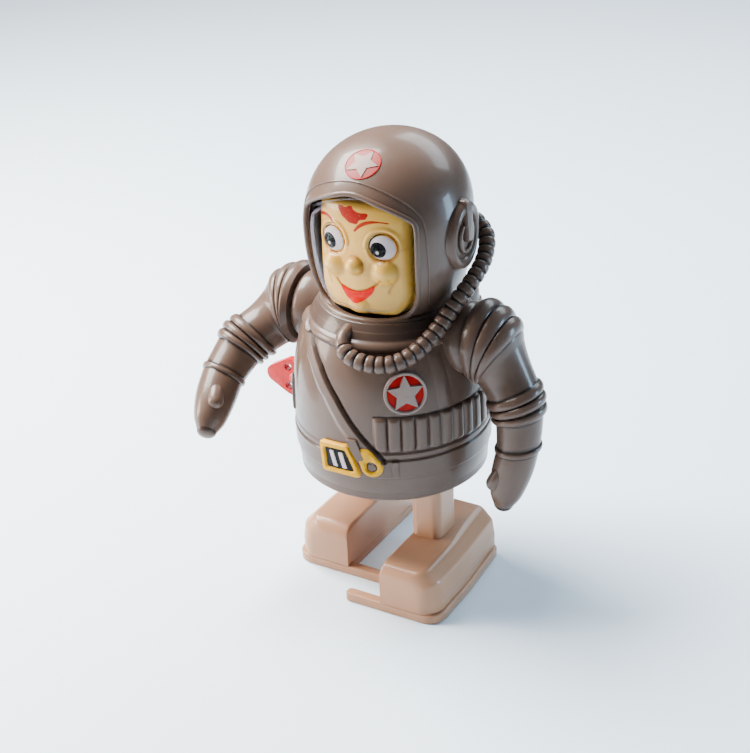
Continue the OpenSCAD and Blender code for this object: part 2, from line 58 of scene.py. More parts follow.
def limits(node):
    """Lowest and highest corner of a CAD node, in millimetres."""
    low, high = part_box(node)
    return low / MM, high / MM


AXIS_Y = limits("torso_front")[1].y          # the seam between the torso shells holds the figure's axis
TORSO_Z0 = limits("torso_front")[0].z
NECK_Z = limits("torso_front")[1].z
CROWN_Z = limits("helmet_shell")[1].z
SOLE_T = limits("sole_left")[1].z
BOOT_H = limits("boot_left")[1].z

TORSO_R = 58.2
NECK_R = 41.0
WAIST_Z = 108.0
HEM_IN = 1.7

HELMET_R = 48.0
HELMET_Y = 3.2
HELMET_Z0 = NECK_Z + 1
HELMET_WIDE_Z = 232.0
HELMET_FOOT_IN = 9.5
SHELL = 2.4

SHOULDER_Z = 166.0
THROW = 12.3
DRIVE_AT = (9.0, 107.5)
KEY_HOLE_R = 4.0


# ---- mesh helpers ----

def link(name, mesh):
    obj = bpy.data.objects.new(name, mesh)
    bpy.context.scene.collection.objects.link(obj)
    return obj


def piece(name, verts, faces, material, body, slot, replaces=(), sharp=35, shade_reach=0.0):
    """A mesh piece from points in millimetres; edges sharper than that many degrees stay crisp."""
    obj = bare(name, verts, faces)
    # A reach above nought paints shade into the piece's hollows.
    if shade_reach > 0:
        paint_hollow_shade(obj, shade_reach)
    finish_piece(obj, material, body, slot, replaces, sharp)


def in_frame(verts):
    """Points in millimetres about the figure's axis, as metres in the frame."""
    return [(x * MM, (y + AXIS_Y) * MM, z * MM) for x, y, z in verts]


def bare(name, verts, faces):
    """A mesh object without a material, its doubled points joined and its normals facing out."""
    mesh = bpy.data.meshes.new(name)
    mesh.from_pydata(in_frame(verts), [], faces)
    tidy = bmesh.new()
    tidy.from_mesh(mesh)
    bmesh.ops.remove_doubles(tidy, verts=tidy.verts, dist=1e-6)
    bmesh.ops.recalc_face_normals(tidy, faces=tidy.faces)
    tidy.to_mesh(mesh)
    tidy.free()
    return link(name, mesh)


def paint_hollow_shade(obj, reach, passes=3):
    """Marks painted shade at each point by how hollow the surface is there, full where it curves in tighter
    than reach mm.
    """
    shape = bmesh.new()
    shape.from_mesh(obj.data)
    shape.normal_update()
    values = []
    for vert in shape.verts:
        curve = 0.0
        for edge in vert.link_edges:
            step = edge.other_vert(vert).co - vert.co
            curve += 2 * vert.normal.dot(step) / max(step.length_squared, 1e-12)
        values.append(min(max(curve / max(len(vert.link_edges), 1) * reach * MM, 0.0), 1.0))
    around = [[edge.other_vert(vert).index for edge in vert.link_edges] for vert in shape.verts]
    for _ in range(passes):
        values = [(value + max(values[k] for k in near)) / 2 if near else 0.0
                  for value, near in zip(values, around)]
    shape.free()
    mark_painted_shade(obj.data, values)


# Stores the painted shade as a point attribute that the plastics read.
def mark_painted_shade(mesh, values):
    layer = mesh.attributes.get("hollow_shade") or mesh.attributes.new("hollow_shade", "FLOAT", "POINT")
    layer.data.foreach_set("value", values)


def finish_piece(obj, material, body, slot, replaces=(), sharp=35):
    obj.data.materials.clear()
    obj.data.materials.append(material)
    shade(obj, sharp)
    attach(obj, body)
    if replaces:
        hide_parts(*replaces)


def shade(obj, sharp):
    obj.data.shade_smooth()
    obj.data.set_sharp_from_angle(angle=radians(sharp))


def apply(obj, kind, **settings):
    """Adds one modifier to obj and applies it."""
    modifier = obj.modifiers.new(kind.lower(), kind)
    for key, value in settings.items():
        setattr(modifier, key, value)
    graph = bpy.context.evaluated_depsgraph_get()
    mesh = bpy.data.meshes.new_from_object(obj.evaluated_get(graph))
    obj.modifiers.clear()
    old = obj.data
    obj.data = mesh
    bpy.data.meshes.remove(old)


def cut(obj, tool):
    """Takes tool's shape out of obj and removes tool."""
    apply(obj, "BOOLEAN", operation="DIFFERENCE", solver="MANIFOLD", object=tool)
    mesh = tool.data
    bpy.data.objects.remove(tool)
    bpy.data.meshes.remove(mesh)


def bevel(obj, width, segments=3, angle=40):
    apply(obj, "BEVEL", width=width * MM, segments=segments, limit_method="ANGLE",
          angle_limit=radians(angle), harden_normals=False)


def grid_faces(rows, columns, close_columns=False, close_rows=False):
    faces = []
    for i in range(rows if close_rows else rows - 1):
        for j in range(columns if close_columns else columns - 1):
            a = i * columns + j
            b = i * columns + (j + 1) % columns
            c = ((i + 1) % rows) * columns + (j + 1) % columns
            d = ((i + 1) % rows) * columns + j
            faces.append((a, b, c, d))
    return faces


def loft(rings, cap=True, close=False):
    """Points and faces of a skin through closed rings of equal count."""
    count = len(rings[0])
    verts = [p for ring in rings for p in ring]
    faces = grid_faces(len(rings), count, close_columns=True, close_rows=close)
    if cap and not close:
        faces.append(tuple(range(count))[::-1])
        faces.append(tuple(len(verts) - count + k for k in range(count)))
    return verts, faces


def prism(outline, low, high):
    """A flat outline stood up along Z."""
    return loft([[(x, y, low) for x, y in outline], [(x, y, high) for x, y in outline]])


def curve_point(a, b, c, d, t):
    """Catmull-Rom point between b and c, for numbers or vectors."""
    return 0.5 * (2 * b + (c - a) * t + (2 * a - 5 * b + 4 * c - d) * t * t
                  + (3 * b - a - 3 * c + d) * t ** 3)


def smooth_line(points, steps, closed=False):
    """Catmull-Rom curve through points, with steps spans between neighbours."""
    points = [Vector(p) for p in points]
    count = len(points)
    out = []
    for i in range(count if closed else count - 1):
        def at(k):
            return points[k % count] if closed else points[min(max(k, 0), count - 1)]
        a, b, c, d = at(i - 1), at(i), at(i + 1), at(i + 2)
        out += [curve_point(a, b, c, d, s / steps) for s in range(steps)]
    if not closed:
        out.append(points[-1])
    return out


def smooth_flat(points, steps, closed=False):
    """The same curve through flat points."""
    return [(p.x, p.y) for p in smooth_line([(x, z, 0) for x, z in points], steps, closed)]


def even_line(points, gap):
    """The same curve with its points a fixed gap apart."""
    lengths = [0.0]
    for a, b in zip(points, points[1:]):
        lengths.append(lengths[-1] + (b - a).length)
    count = max(2, ceil(lengths[-1] / gap))
    out, k = [], 0
    for i in range(count + 1):
        want = lengths[-1] * i / count
        while k < len(points) - 2 and lengths[k + 1] < want:
            k += 1
        part = (want - lengths[k]) / max(lengths[k + 1] - lengths[k], 1e-9)
        out.append(points[k].lerp(points[k + 1], part))
    return out


def neighbours(line, i, closed):
    """The points before and after point i; at an open end, the end point itself."""
    count = len(line)
    if closed:
        return line[(i - 1) % count], line[(i + 1) % count]
    return line[max(i - 1, 0)], line[min(i + 1, count - 1)]


def tube(path, radius, sides=10, closed=False, up=None):
    """A round tube along path; radius is a number or a function of 0 to 1 along it."""
    count = len(path)
    size = radius if callable(radius) else (lambda t: radius)
    rings = []
    normal = Vector(up) if up is not None else None
    for i, point in enumerate(path):
        before, after = neighbours(path, i, closed)
        along = (after - before).normalized()
        if normal is None:
            normal = along.orthogonal()
        normal = (normal - along * normal.dot(along)).normalized()
        side = along.cross(normal)
        r = size(i / (count - 1))
        turns = [2 * pi * k / sides for k in range(sides)]
        rings.append([point + normal * (r * cos(a)) + side * (r * sin(a)) for a in turns])
    return loft(rings, close=closed)


def lathe(profile, steps, centre=(0.0, 0.0), axis="z"):
    """A surface of revolution from (radius, height) points, about a Z or an X axis."""
    rings = []
    for r, h in profile:
        ring = []
        for k in range(steps):
            a = 2 * pi * k / steps
            u, v = r * cos(a), r * sin(a)
            if axis == "z":
                ring.append((centre[0] + u, centre[1] + v, h))
            else:
                ring.append((h, centre[0] + u, centre[1] + v))
        rings.append(ring)
    return loft(rings, cap=profile[0][0] > 0, close=False)


def step_up(value, low, high):
    """0 below low, 1 above high, smooth between."""
    t = min(max((value - low) / (high - low), 0.0), 1.0)
    return t * t * (3 - 2 * t)


def between(x, table):
    """Straight-line reading of a table of (x, y) pairs in rising x."""
    if x <= table[0][0]:
        return table[0][1]
    for (x0, y0), (x1, y1) in zip(table, table[1:]):
        if x <= x1:
            return y0 + (y1 - y0) * (x - x0) / (x1 - x0)
    return table[-1][1]


# ---- materials ----

class Nodes:
    """Short names for building one material's node tree."""

    def __init__(self, name):
        self.material = bpy.data.materials.new(name)
        self.material.use_nodes = True
        self.tree = self.material.node_tree
        self.tree.nodes.clear()
        self.output = self.add("ShaderNodeOutputMaterial")
        self.shader = self.add("ShaderNodeBsdfPrincipled")
        self.wire(self.shader, "BSDF", self.output, "Surface")
        self.where = self.add("ShaderNodeTexCoord")

    def add(self, kind, **settings):
        node = self.tree.nodes.new(kind)
        for key, value in settings.items():
            setattr(node, key, value)
        return node

    def wire(self, a, out, b, into):
        self.tree.links.new(a.outputs[out], b.inputs[into])

    def noise(self, scale, detail=4.0, rough=0.5):
        node = self.add("ShaderNodeTexNoise")
        node.inputs["Scale"].default_value = scale
        node.inputs["Detail"].default_value = detail
        node.inputs["Roughness"].default_value = rough
        self.wire(self.where, "Object", node, "Vector")
        return node

    def ramp(self, source, out, stops):
        node = self.add("ShaderNodeValToRGB")
        while len(node.color_ramp.elements) < len(stops):
            node.color_ramp.elements.new(0.5)
        for element, (place, colour) in zip(node.color_ramp.elements, stops):
            element.position = place
            element.color = (*colour, 1)
        self.wire(source, out, node, "Fac")
        return node

    def tone(self, source, dark, light):
        return self.ramp(source, "Fac", [(0.3, dark), (0.7, light)])

    def mask(self, source, low, high, full=1.0):
        """Black below low, up to full above high."""
        return self.ramp(source, "Fac", [(low, (0, 0, 0)), (high, (full,) * 3)])

    def roughness(self, source, places, values):
        """Roughness between two values, by the source's brightness between two places."""
        spread = self.ramp(source, "Fac", [(place, (value,) * 3) for place, value in zip(places, values)])
        self.wire(spread, "Color", self.shader, "Roughness")

    def mix(self, factor, factor_out, a, b):
        """Mixes two colours; a and b are colours or (node, output) pairs."""
        node = self.add("ShaderNodeMix", data_type="RGBA", blend_type="MIX")
        self.wire(factor, factor_out, node, 0)
        for index, value in ((6, a), (7, b)):
            if isinstance(value[0], bpy.types.Node):
                self.tree.links.new(value[0].outputs[value[1]], node.inputs[index])
            else:
                node.inputs[index].default_value = (*value, 1)
        return node

    def bump(self, source, out, strength, distance, below=None):
        node = self.add("ShaderNodeBump")
        node.inputs["Strength"].default_value = strength
        node.inputs["Distance"].default_value = distance
        self.wire(source, out, node, "Height")
        if below is not None:
            self.wire(below, "Normal", node, "Normal")
        self.wire(node, "Normal", self.shader, "Normal")
        return node

    def set(self, **values):
        for key, value in values.items():
            self.shader.inputs[key.replace("_", " ")].default_value = value


def shades(colour, dark, light):
    """Darker and lighter versions of a colour."""
    return tuple(c * dark for c in colour), tuple(min(c * light, 1.0) for c in colour)


def moulded_plastic(name, colour, roughness, coat=0.22, hollow_shade_colour=None, mottle=0.06):
    """Old moulded plastic: cloudy tone, fine scuffs, worn gloss and, given a shade colour, painted shade
    darkening the marked hollows.
    """
    n = Nodes(name)
    dark, light = shades(colour, 1 - mottle, 1 + mottle)
    cloud = n.noise(28.0, 3.0)
    tone = n.tone(cloud, dark, light)
    speck_mask = n.mask(n.noise(900.0, 2.0, 0.7), 0.76, 0.88)
    base = n.mix(speck_mask, "Color", (tone, "Color"), shades(colour, 0.72, 1)[0])
    # Painted shade: the marked hollows are darkened towards the shade colour.
    if hollow_shade_colour is not None:
        hollow_shade = n.add("ShaderNodeAttribute", attribute_name="hollow_shade")
        base = n.mix(hollow_shade, "Fac", (base, "Result"), hollow_shade_colour)
    n.wire(base, "Result", n.shader, "Base Color")
    scuff = n.noise(140.0, 6.0, 0.65)
    n.roughness(scuff, (0.30, 0.75), (roughness - 0.06, roughness + 0.10))
    fine = n.noise(2200.0, 2.0)
    wave = n.noise(60.0, 2.0)
    first = n.bump(wave, "Fac", 0.12, 0.0006)
    n.bump(fine, "Fac", 0.05, 0.00008, below=first)
    n.set(Coat_Weight=coat, Coat_Roughness=0.10, Specular_IOR_Level=0.20)
    return n.material


def paint(name, colour, roughness=0.35, streak=0.10, worn=0.0, under=(0.6, 0.5, 0.45)):
    """Brushed or masked enamel, with slight streaks and, where worn, chips down to the plastic."""
    n = Nodes(name)
    dark, light = shades(colour, 1 - streak, 1 + streak)
    brush = n.noise(260.0, 5.0, 0.6)
    tone = n.tone(brush, dark, light)
    last = (tone, "Color")
    if worn > 0:
        chips = n.noise(1300.0, 3.0, 0.6)
        mask = n.mask(chips, 0.70 - worn, 0.74 - worn)
        mixed = n.mix(mask, "Color", (tone, "Color"), under)
        last = (mixed, "Result")
    n.wire(last[0], last[1], n.shader, "Base Color")
    n.roughness(brush, (0.3, 0.7), (roughness - 0.05, roughness + 0.08))
    n.bump(brush, "Fac", 0.15, 0.00008)
    n.set(Coat_Weight=0.03, Coat_Roughness=0.1, Specular_IOR_Level=0.08)
    return n.material


METAL_GRAIN = 2400.0
TARNISH_COVER = 0.35


def metal(name, colour, roughness, tarnish=(0.25, 0.17, 0.09)):
    """Stamped or turned metal with a fine grain and patchy tarnish."""
    n = Nodes(name)
    patch = n.noise(220.0, 5.0, 0.6)
    mask = n.mask(patch, 0.45, 0.80, TARNISH_COVER)
    mixed = n.mix(mask, "Color", colour, tarnish)
    n.wire(mixed, "Result", n.shader, "Base Color")
    fine = n.noise(METAL_GRAIN, 3.0)
    n.roughness(fine, (0.3, 0.7), (roughness - 0.07, roughness + 0.12))
    n.bump(fine, "Fac", 0.10, 0.00006)
    n.set(Metallic=1.0)
    return n.material


def clear_plastic(name):
    """Thin clear window: see-through, with a painted reflection that makes it lighter and less see-through
    where it is seen edge on.
    """
    n = Nodes(name)
    n.roughness(n.noise(90.0, 4.0), (0.4, 0.8), (0.05, 0.14))
    edge = n.add("ShaderNodeLayerWeight")
    edge.inputs["Blend"].default_value = 0.35
    # Painted reflection: the colour lightens and the window turns less see-through towards its edge-on parts.
    edge_sheen = n.ramp(edge, "Facing", [(0.35, (0.02, 0.02, 0.02)), (0.70, (0.45, 0.41, 0.50))])
    n.wire(edge_sheen, "Color", n.shader, "Base Color")
    cover = n.ramp(edge, "Facing", [(0.30, (0.0,) * 3), (0.50, (0.03,) * 3), (0.9, (0.60,) * 3)])
    n.wire(cover, "Color", n.shader, "Alpha")
    n.set(IOR=1.45, Specular_IOR_Level=0.5)
    return n.material


SUIT = (0.100, 0.060, 0.043)
BOOT = (0.40, 0.205, 0.115)
SKIN = (0.66, 0.36, 0.060)

# The last colour given to each plastic is the painted shade in its hollows.
suit_plastic = moulded_plastic("suit_plastic", SUIT, 0.34, hollow_shade_colour=(0.022, 0.013, 0.010))
boot_plastic = moulded_plastic("boot_plastic", BOOT, 0.33, hollow_shade_colour=(0.16, 0.075, 0.04))
skin_plastic = moulded_plastic("skin_plastic", SKIN, 0.30, hollow_shade_colour=(0.42, 0.20, 0.035), mottle=0.05)
key_plastic = moulded_plastic("key_plastic", (0.50, 0.002, 0.002), 0.25, coat=0.1, mottle=0.10)
visor_plastic = clear_plastic("visor_clear")
red_paint = paint("red_paint", (0.34, 0.003, 0.002))
pink_paint = paint("pink_wash", (0.30, 0.060, 0.055), worn=0.06, under=SUIT)
star_paint = paint("star_paint", (0.30, 0.22, 0.19), worn=0.02, under=SUIT)
yellow_paint = paint("yellow_paint", (0.66, 0.33, 0.006), worn=0.03, under=SUIT)
black_paint = paint("black_paint", (0.0012, 0.0010, 0.0012), roughness=0.25, streak=0.3)
white_paint = paint("white_paint", (0.50, 0.43, 0.44))
hair_paint = paint("hair_paint", (0.34, 0.012, 0.008), worn=0.05, under=SKIN)
brow_paint = paint("brow_paint", (0.38, 0.025, 0.004))
lip_paint = paint("lip_paint", (0.60, 0.004, 0.002), roughness=0.25)
steel = metal("plated_steel", (0.62, 0.62, 0.63), 0.30)
blue_steel = metal("blued_spring_steel", (0.10, 0.13, 0.20), 0.28, tarnish=(0.20, 0.12, 0.10))
brass = metal("wheel_brass", (0.80, 0.58, 0.24), 0.26, tarnish=(0.35, 0.20, 0.08))


def on_suit(name, mesh, material=suit_plastic, replaces=(), sharp=35, shade_reach=0.0):
    """A moulded or painted part that rides the torso."""
    piece(name, *mesh, material, "torso", "suit_plastic", replaces, sharp, shade_reach)


# ---- torso ----

def torso_radius(z):
    if z < WAIST_Z:
        return TORSO_R - HEM_IN * ((WAIST_Z - z) / (WAIST_Z - TORSO_Z0)) ** 3
    t = min((z - WAIST_Z) / (NECK_Z - WAIST_Z), 1.0)
    return NECK_R + (TORSO_R - NECK_R) * max(0.0, 1 - t ** 2.8) ** 0.92


# The lapel edge from the right shoulder down to the buckle, as (height, angle)
LAPEL_EDGE = [(104.0, 24.0), (108.1, 21.0), (116.5, 13.3), (126.9, 5.2), (140.3, -4.2), (155.4, -17.8),
              (163.8, -28.0), (170.0, -38.0), (174.0, -48.0)]
LAPEL_W = 7.5
RIB_Z0, RIB_Z1 = 110.5, 132.5
RIB_START = 18.5
RIB_PITCH = (90 - RIB_START) / 9
RIB_COUNT_BACK = 3
COAT_SIDE = 56.0                           # angle where the smooth front of the coat ends on the right
BELT_Z0, BELT_Z1 = 92.5, 105.0
TRIM_Z0, TRIM_Z1 = 105.8, 109.2
NECK_ROLL_Z = 172.0
# Grooves darkened with painted shade, as (depth of the shade, low z, high z, softness)
SHADED_SEAMS = [(0.45, BELT_Z1 - 0.1, TRIM_Z0 + 0.3, 0.3), (0.30, BELT_Z0 - 0.8, BELT_Z0 + 0.2, 0.4),
               (0.35, TRIM_Z1 - 0.1, TRIM_Z1 + 1.0, 0.4),
               (0.5, NECK_ROLL_Z - 3.4, NECK_ROLL_Z - 2.3, 0.5)]
FOLDS = [(-52, 5.0, 1.1), (-66, 5.5, 1.0), (58, 5.0, 0.8)]               # angle, width in degrees, height


def lapel_reach(angle, z):
    """Distance in mm from the lapel's right-hand edge, positive on the lapel."""
    edge = between(z, LAPEL_EDGE)
    slope = (between(z + 1, LAPEL_EDGE) - between(z - 1, LAPEL_EDGE)) / 2
    per_degree = radians(1) * torso_radius(z)
    return (edge - angle) * per_degree / sqrt(1 + (slope * per_degree) ** 2)


def band(z, low, high, edge=0.7):
    return step_up(z, low, low + edge) * (1 - step_up(z, high - edge, high))


def relief(angle, z):
    """Height of the moulded relief and strength of painted shade at one place on the torso."""
    height, painted_shade = 0.0, 0.0
    reach = lapel_reach(angle, z)
    on_lapel = z > 103 and reach > -2.6
    if on_lapel:
        fade = 1 - step_up(z, 171, 175)
        lift = 1.5 * step_up(reach, -0.15, 0.55) * (1 - 0.85 * step_up(reach, LAPEL_W - 2.2, LAPEL_W + 2.0))
        groove = step_up(reach, -2.3, -0.8) * (1 - step_up(reach, -0.3, 0.25))
        height += fade * (lift - 1.1 * groove)
        # Painted shade in the groove beside the lapel's edge.
        painted_shade = max(painted_shade, fade * groove ** 0.7)
    around = abs(angle)
    if RIB_Z0 - 1 < z < RIB_Z1 + 1 and RIB_START < around < 90 + RIB_COUNT_BACK * RIB_PITCH:
        if not on_lapel or angle < -COAT_SIDE:
            part = ((around - RIB_START) / RIB_PITCH) % 1
            across = abs(2 * part - 1)
            ends = abs(2 * (z - RIB_Z0) / (RIB_Z1 - RIB_Z0) - 1)
            crest = max(0.0, 1 - across ** 3.2) * max(0.0, 1 - ends ** 14)
            height += 1.9 * crest ** 0.8 - 0.35 * (1 - crest)
            # Painted shade between the ribs.
            painted_shade = max(painted_shade, 0.75 * (1 - min(1.0, crest * 2.2)) * band(z, RIB_Z0 - 1, RIB_Z1 + 1))
    height += 0.9 * band(z, BELT_Z0, BELT_Z1) + 0.45 * band(z, TRIM_Z0, TRIM_Z1, 0.6)
    # Painted shade along the seams.
    for depth, low, high, edge in SHADED_SEAMS:
        painted_shade = max(painted_shade, depth * band(z, low, high, edge))
    roll = (z - NECK_ROLL_Z) / 2.6
    if abs(roll) < 1:
        height += 1.9 * sqrt(1 - roll * roll)
    # Painted shade above the neck roll, under the helmet's collar.
    painted_shade = max(painted_shade, 0.55 * step_up(z, NECK_ROLL_Z + 2.1, NECK_ROLL_Z + 3.0))
    for where, wide, tall in FOLDS:
        fold = max(0.0, 1 - ((angle - where - 0.12 * (170 - z)) / wide) ** 2)
        height += tall * fold * step_up(z, 120, 145) * (1 - step_up(z, 163, 169))
    return height, painted_shade


def on_torso(angle, z, height):
    r = torso_radius(z) + height
    return (r * sin(radians(angle)), -r * cos(radians(angle)), z)


def torso_shell(name, middle, angle_step, z_step):
    columns = int(180 / angle_step) + 1
    rows = int((NECK_Z - TORSO_Z0) / z_step) + 1
    # Each point keeps the painted shade from relief() beside its position.
    verts, painted_shade = [], []
    for i in range(rows):
        z = TORSO_Z0 + (NECK_Z - TORSO_Z0) * i / (rows - 1)
        for j in range(columns):
            angle = middle - 90 + 180 * j / (columns - 1)
            wrapped = (angle + 180) % 360 - 180
            height, depth = relief(wrapped, z)
            verts.append(on_torso(angle, z, height))
            painted_shade.append(depth)
    # The lip turned in at the neck is given painted shade.
    for j in range(columns):
        angle = middle - 90 + 180 * j / (columns - 1)
        verts.append(on_torso(angle, NECK_Z, -3.0))
        painted_shade.append(0.6)
    mesh = bpy.data.meshes.new(name)
    mesh.from_pydata(in_frame(verts), [], grid_faces(rows + 1, columns))
    mark_painted_shade(mesh, painted_shade)
    obj = link(name, mesh)
    apply(obj, "SOLIDIFY", thickness=SHELL * MM, offset=-1.0)
    return obj


def torso():
    front = torso_shell("torso_front_skin", 0, 0.5, 0.5)
    finish_piece(front, suit_plastic, "torso", "suit_plastic", ["torso_front"], 50)
    back = torso_shell("torso_back_skin", 180, 1.0, 0.8)
    hole = bare("key_hole", *lathe([(KEY_HOLE_R, -70), (KEY_HOLE_R, -45)], 32, DRIVE_AT, "x"))
    cut(back, hole)
    finish_piece(back, suit_plastic, "torso", "suit_plastic", ["torso_back"], 50)


# ---- thin pieces laid on a surface; a place turns (across, up, height) into a point ----

def torso_place(angle, z):
    def place(across, up, height):
        return on_torso(angle + degrees(across / torso_radius(z)), z + up, height)
    return place


def frame_ring(outer, inner, profile, place):
    """A frame whose section runs through (0 outer to 1 inner, height) points."""
    rings = []
    for part, height in profile:
        rings.append([place(a[0] + (b[0] - a[0]) * part, a[1] + (b[1] - a[1]) * part, height)
                      for a, b in zip(outer, inner)])
    return loft(rings, close=True)


def plate(outline, place, low, high, soft=0.25, rings=6):
    """A thin plate with a rounded edge, filled with shrinking rings so it follows the surface."""
    middle = (sum(p[0] for p in outline) / len(outline), sum(p[1] for p in outline) / len(outline))
    size = max(hypot(p[0] - middle[0], p[1] - middle[1]) for p in outline)
    inside = 1 - soft / size

    def layer(k, height):
        return [place(middle[0] + (p[0] - middle[0]) * k, middle[1] + (p[1] - middle[1]) * k, height)
                for p in outline]

    layers = [layer(inside * k / rings, low) for k in range(1, rings + 1)]
    layers += [layer(1, low), layer(1, high - soft)]
    layers += [layer(inside * k / rings, high) for k in range(rings, 0, -1)]
    verts, faces = loft(layers, cap=False)
    count = len(outline)
    verts += [place(*middle, low), place(*middle, high)]
    bottom, top = len(verts) - 2, len(verts) - 1
    last = (len(layers) - 1) * count
    faces += [(k, (k + 1) % count, bottom) for k in range(count)]
    faces += [(last + k, last + (k + 1) % count, top) for k in range(count)]
    return verts, faces


def ribbon(line, width, place, low, high, closed=False):
    """A painted or raised line; width is a number or a function of 0 to 1 along it."""
    size = width if callable(width) else (lambda t: width)
    count = len(line)
    rings = []
    for i, point in enumerate(line):
        before, after = neighbours(line, i, closed)
        dx, dy = after[0] - before[0], after[1] - before[1]
        length = max(hypot(dx, dy), 1e-9)
        half = size(i / (count - 1)) / 2
        ring = []
        for side, height in ((-1, low), (-0.95, (low + high) / 2), (-0.6, high), (0.6, high),
                             (0.95, (low + high) / 2), (1, low)):
            across = point[0] - dy / length * side * half
            ring.append(place(across, point[1] + dx / length * side * half, height))
        rings.append(ring)
    return loft(rings, close=closed)


def circle(radius, count=48, centre=(0, 0)):
    return [(centre[0] + radius * cos(2 * pi * k / count), centre[1] + radius * sin(2 * pi * k / count))
            for k in range(count)]


def rounded(corners, radius=0.0, steps=6):
    """A closed outline with its corners rounded; a corner may carry its own radius as a third value."""
    out = []
    count = len(corners)
    flat = [Vector(corner[:2]) for corner in corners]
    radii = [corner[2] if len(corner) > 2 else radius for corner in corners]
    for i in range(count):
        here = flat[i]
        radius = radii[i]
        before = (flat[i - 1] - here).normalized()
        after = (flat[(i + 1) % count] - here).normalized()
        half = before.angle(after) / 2
        cut = radius / max(sin(half) / cos(half), 0.05)
        start, end = here + before * cut, here + after * cut
        for k in range(steps + 1):
            t = k / steps
            out.append(tuple(start * (1 - t) ** 2 + here * (2 * t * (1 - t)) + end * t * t))
    return out


def star(points, outer, inner, turn, subdivide=4):
    corners = []
    for k in range(2 * points):
        r = outer if k % 2 == 0 else inner
        a = radians(turn) + pi * k / points
        corners.append((r * cos(a), r * sin(a)))
    out = []
    for k, corner in enumerate(corners):
        nxt = corners[(k + 1) % len(corners)]
        for s in range(subdivide):
            out.append((corner[0] + (nxt[0] - corner[0]) * s / subdivide,
                        corner[1] + (nxt[1] - corner[1]) * s / subdivide))
    return out


BADGE_ANGLE, BADGE_Z, BADGE_R = 37.8, 146.6, 12.4
BUCKLE_ANGLE, BUCKLE_Z = -1.5, 102.5
RING_ANGLE, RING_Z = 17.6, 100.9


def chest_badge():
    rim_out, rim_in = circle(BADGE_R), circle(BADGE_R - 1.9)
    place = torso_place(BADGE_ANGLE, BADGE_Z)
    section = [(0, -0.5), (0.02, 0.9), (0.2, 1.5), (0.7, 1.5), (1.0, 0.9), (1.0, -0.5)]
    on_suit("badge_rim", frame_ring(rim_out, rim_in, section, place), star_paint)
    on_suit("badge_floor", plate(circle(BADGE_R - 1.6), place, -0.6, 0.25), red_paint)
    outline = star(5, BADGE_R - 1.3, (BADGE_R - 1.3) * 0.47, 92)
    on_suit("badge_star", plate(outline, place, -0.4, 1.45, soft=0.35), star_paint)


def buckle():
    outer = rounded([(-14.0, 9.6), (5.5, 11.0), (9.2, 3.0), (13.2, -9.4), (-12.6, -10.4)], 2.6)
    inner = rounded([(-10.2, 6.2), (3.6, 7.4), (6.2, 1.6), (9.2, -5.9), (-8.9, -6.8)], 1.4)
    section = [(0, -0.4), (0.03, 2.2), (0.22, 3.1), (0.75, 3.1), (1.0, 2.3), (1.0, -0.4)]
    place = torso_place(BUCKLE_ANGLE, BUCKLE_Z)
    on_suit("belt_buckle", frame_ring(outer, inner, section, place), yellow_paint)
    on_suit("buckle_field", plate(inner, place, -0.3, 1.8), black_paint)
    for index, shift in enumerate((-4.4, 1.6)):
        bar = rounded([(shift - 2.6, 5.0), (shift + 0.2, 5.2), (shift + 3.0, -4.9), (shift + 0.1, -5.0)], 0.6)
        on_suit(f"buckle_bar_{index}", plate(bar, place, 1.0, 2.3), white_paint)


def belt_ring():
    """Teardrop ring beside the buckle, its point turned up towards the strap."""
    def drop(radius, tip):
        out = []
        for k in range(48):
            a = 2 * pi * k / 48
            lobe = max(0.0, cos(a - radians(118))) ** 5
            out.append(((radius + tip * lobe) * cos(a), (radius + tip * lobe) * sin(a)))
        return out

    section = [(0, -0.4), (0.04, 2.0), (0.25, 2.9), (0.7, 2.9), (1.0, 2.0), (1.0, -0.4)]
    place = torso_place(RING_ANGLE, RING_Z)
    on_suit("belt_ring", frame_ring(drop(6.4, 7.0), drop(3.0, 1.0), section, place), yellow_paint)
    on_suit("belt_ring_stud", plate(circle(2.6, 24), place, 0.2, 2.4, soft=0.5))


def belt_loop():
    outline = rounded([(-2.0, 5.4), (2.0, 5.4), (2.0, -5.4), (-2.0, -5.4)], 1.0)
    on_suit("belt_loop", plate(outline, torso_place(30.5, 99.4), -0.2, 2.0, soft=0.5))


def strap_end():
    """The end of the lapel strap, tucked through the buckle."""
    outline = rounded([(-4.6, 9.5), (2.2, 9.5), (6.6, -3.0), (2.4, -4.4), (-1.2, 2.0)], 1.0)
    on_suit("strap_end", plate(outline, torso_place(7.2, 108.5), -0.2, 3.0, soft=0.6))


# ---- shoulder seats and key bush ----

SEAT_R = 21.0


def shoulder_seats():
    profile = [(0, 40.0), (SEAT_R - 3.0, 40.0), (SEAT_R - 0.6, 46.0), (SEAT_R, 49.6), (SEAT_R + 0.4, 52.6),
               (SEAT_R - 0.2, 55.0), (SEAT_R - 1.4, 56.4), (SEAT_R - 3.0, 56.7), (0, 56.7)]
    for side, name in ((1, "left"), (-1, "right")):
        turned = [(r, side * x) for r, x in profile]
        on_suit(f"shoulder_seat_{name}", lathe(turned, 72, (0, SHOULDER_Z), "x"), shade_reach=0.8)


def key_bush():
    profile = [(KEY_HOLE_R, -55.5), (7.6, -55.5), (7.6, -58.4), (7.0, -59.0), (4.8, -59.2),
               (KEY_HOLE_R, -58.6)]
    steps = 40
    points = lathe(profile, steps, DRIVE_AT, "x")[0]
    rings = [points[k * steps:(k + 1) * steps] for k in range(len(profile))]
    on_suit("key_bush", loft(rings, close=True))


# ---- helmet ----

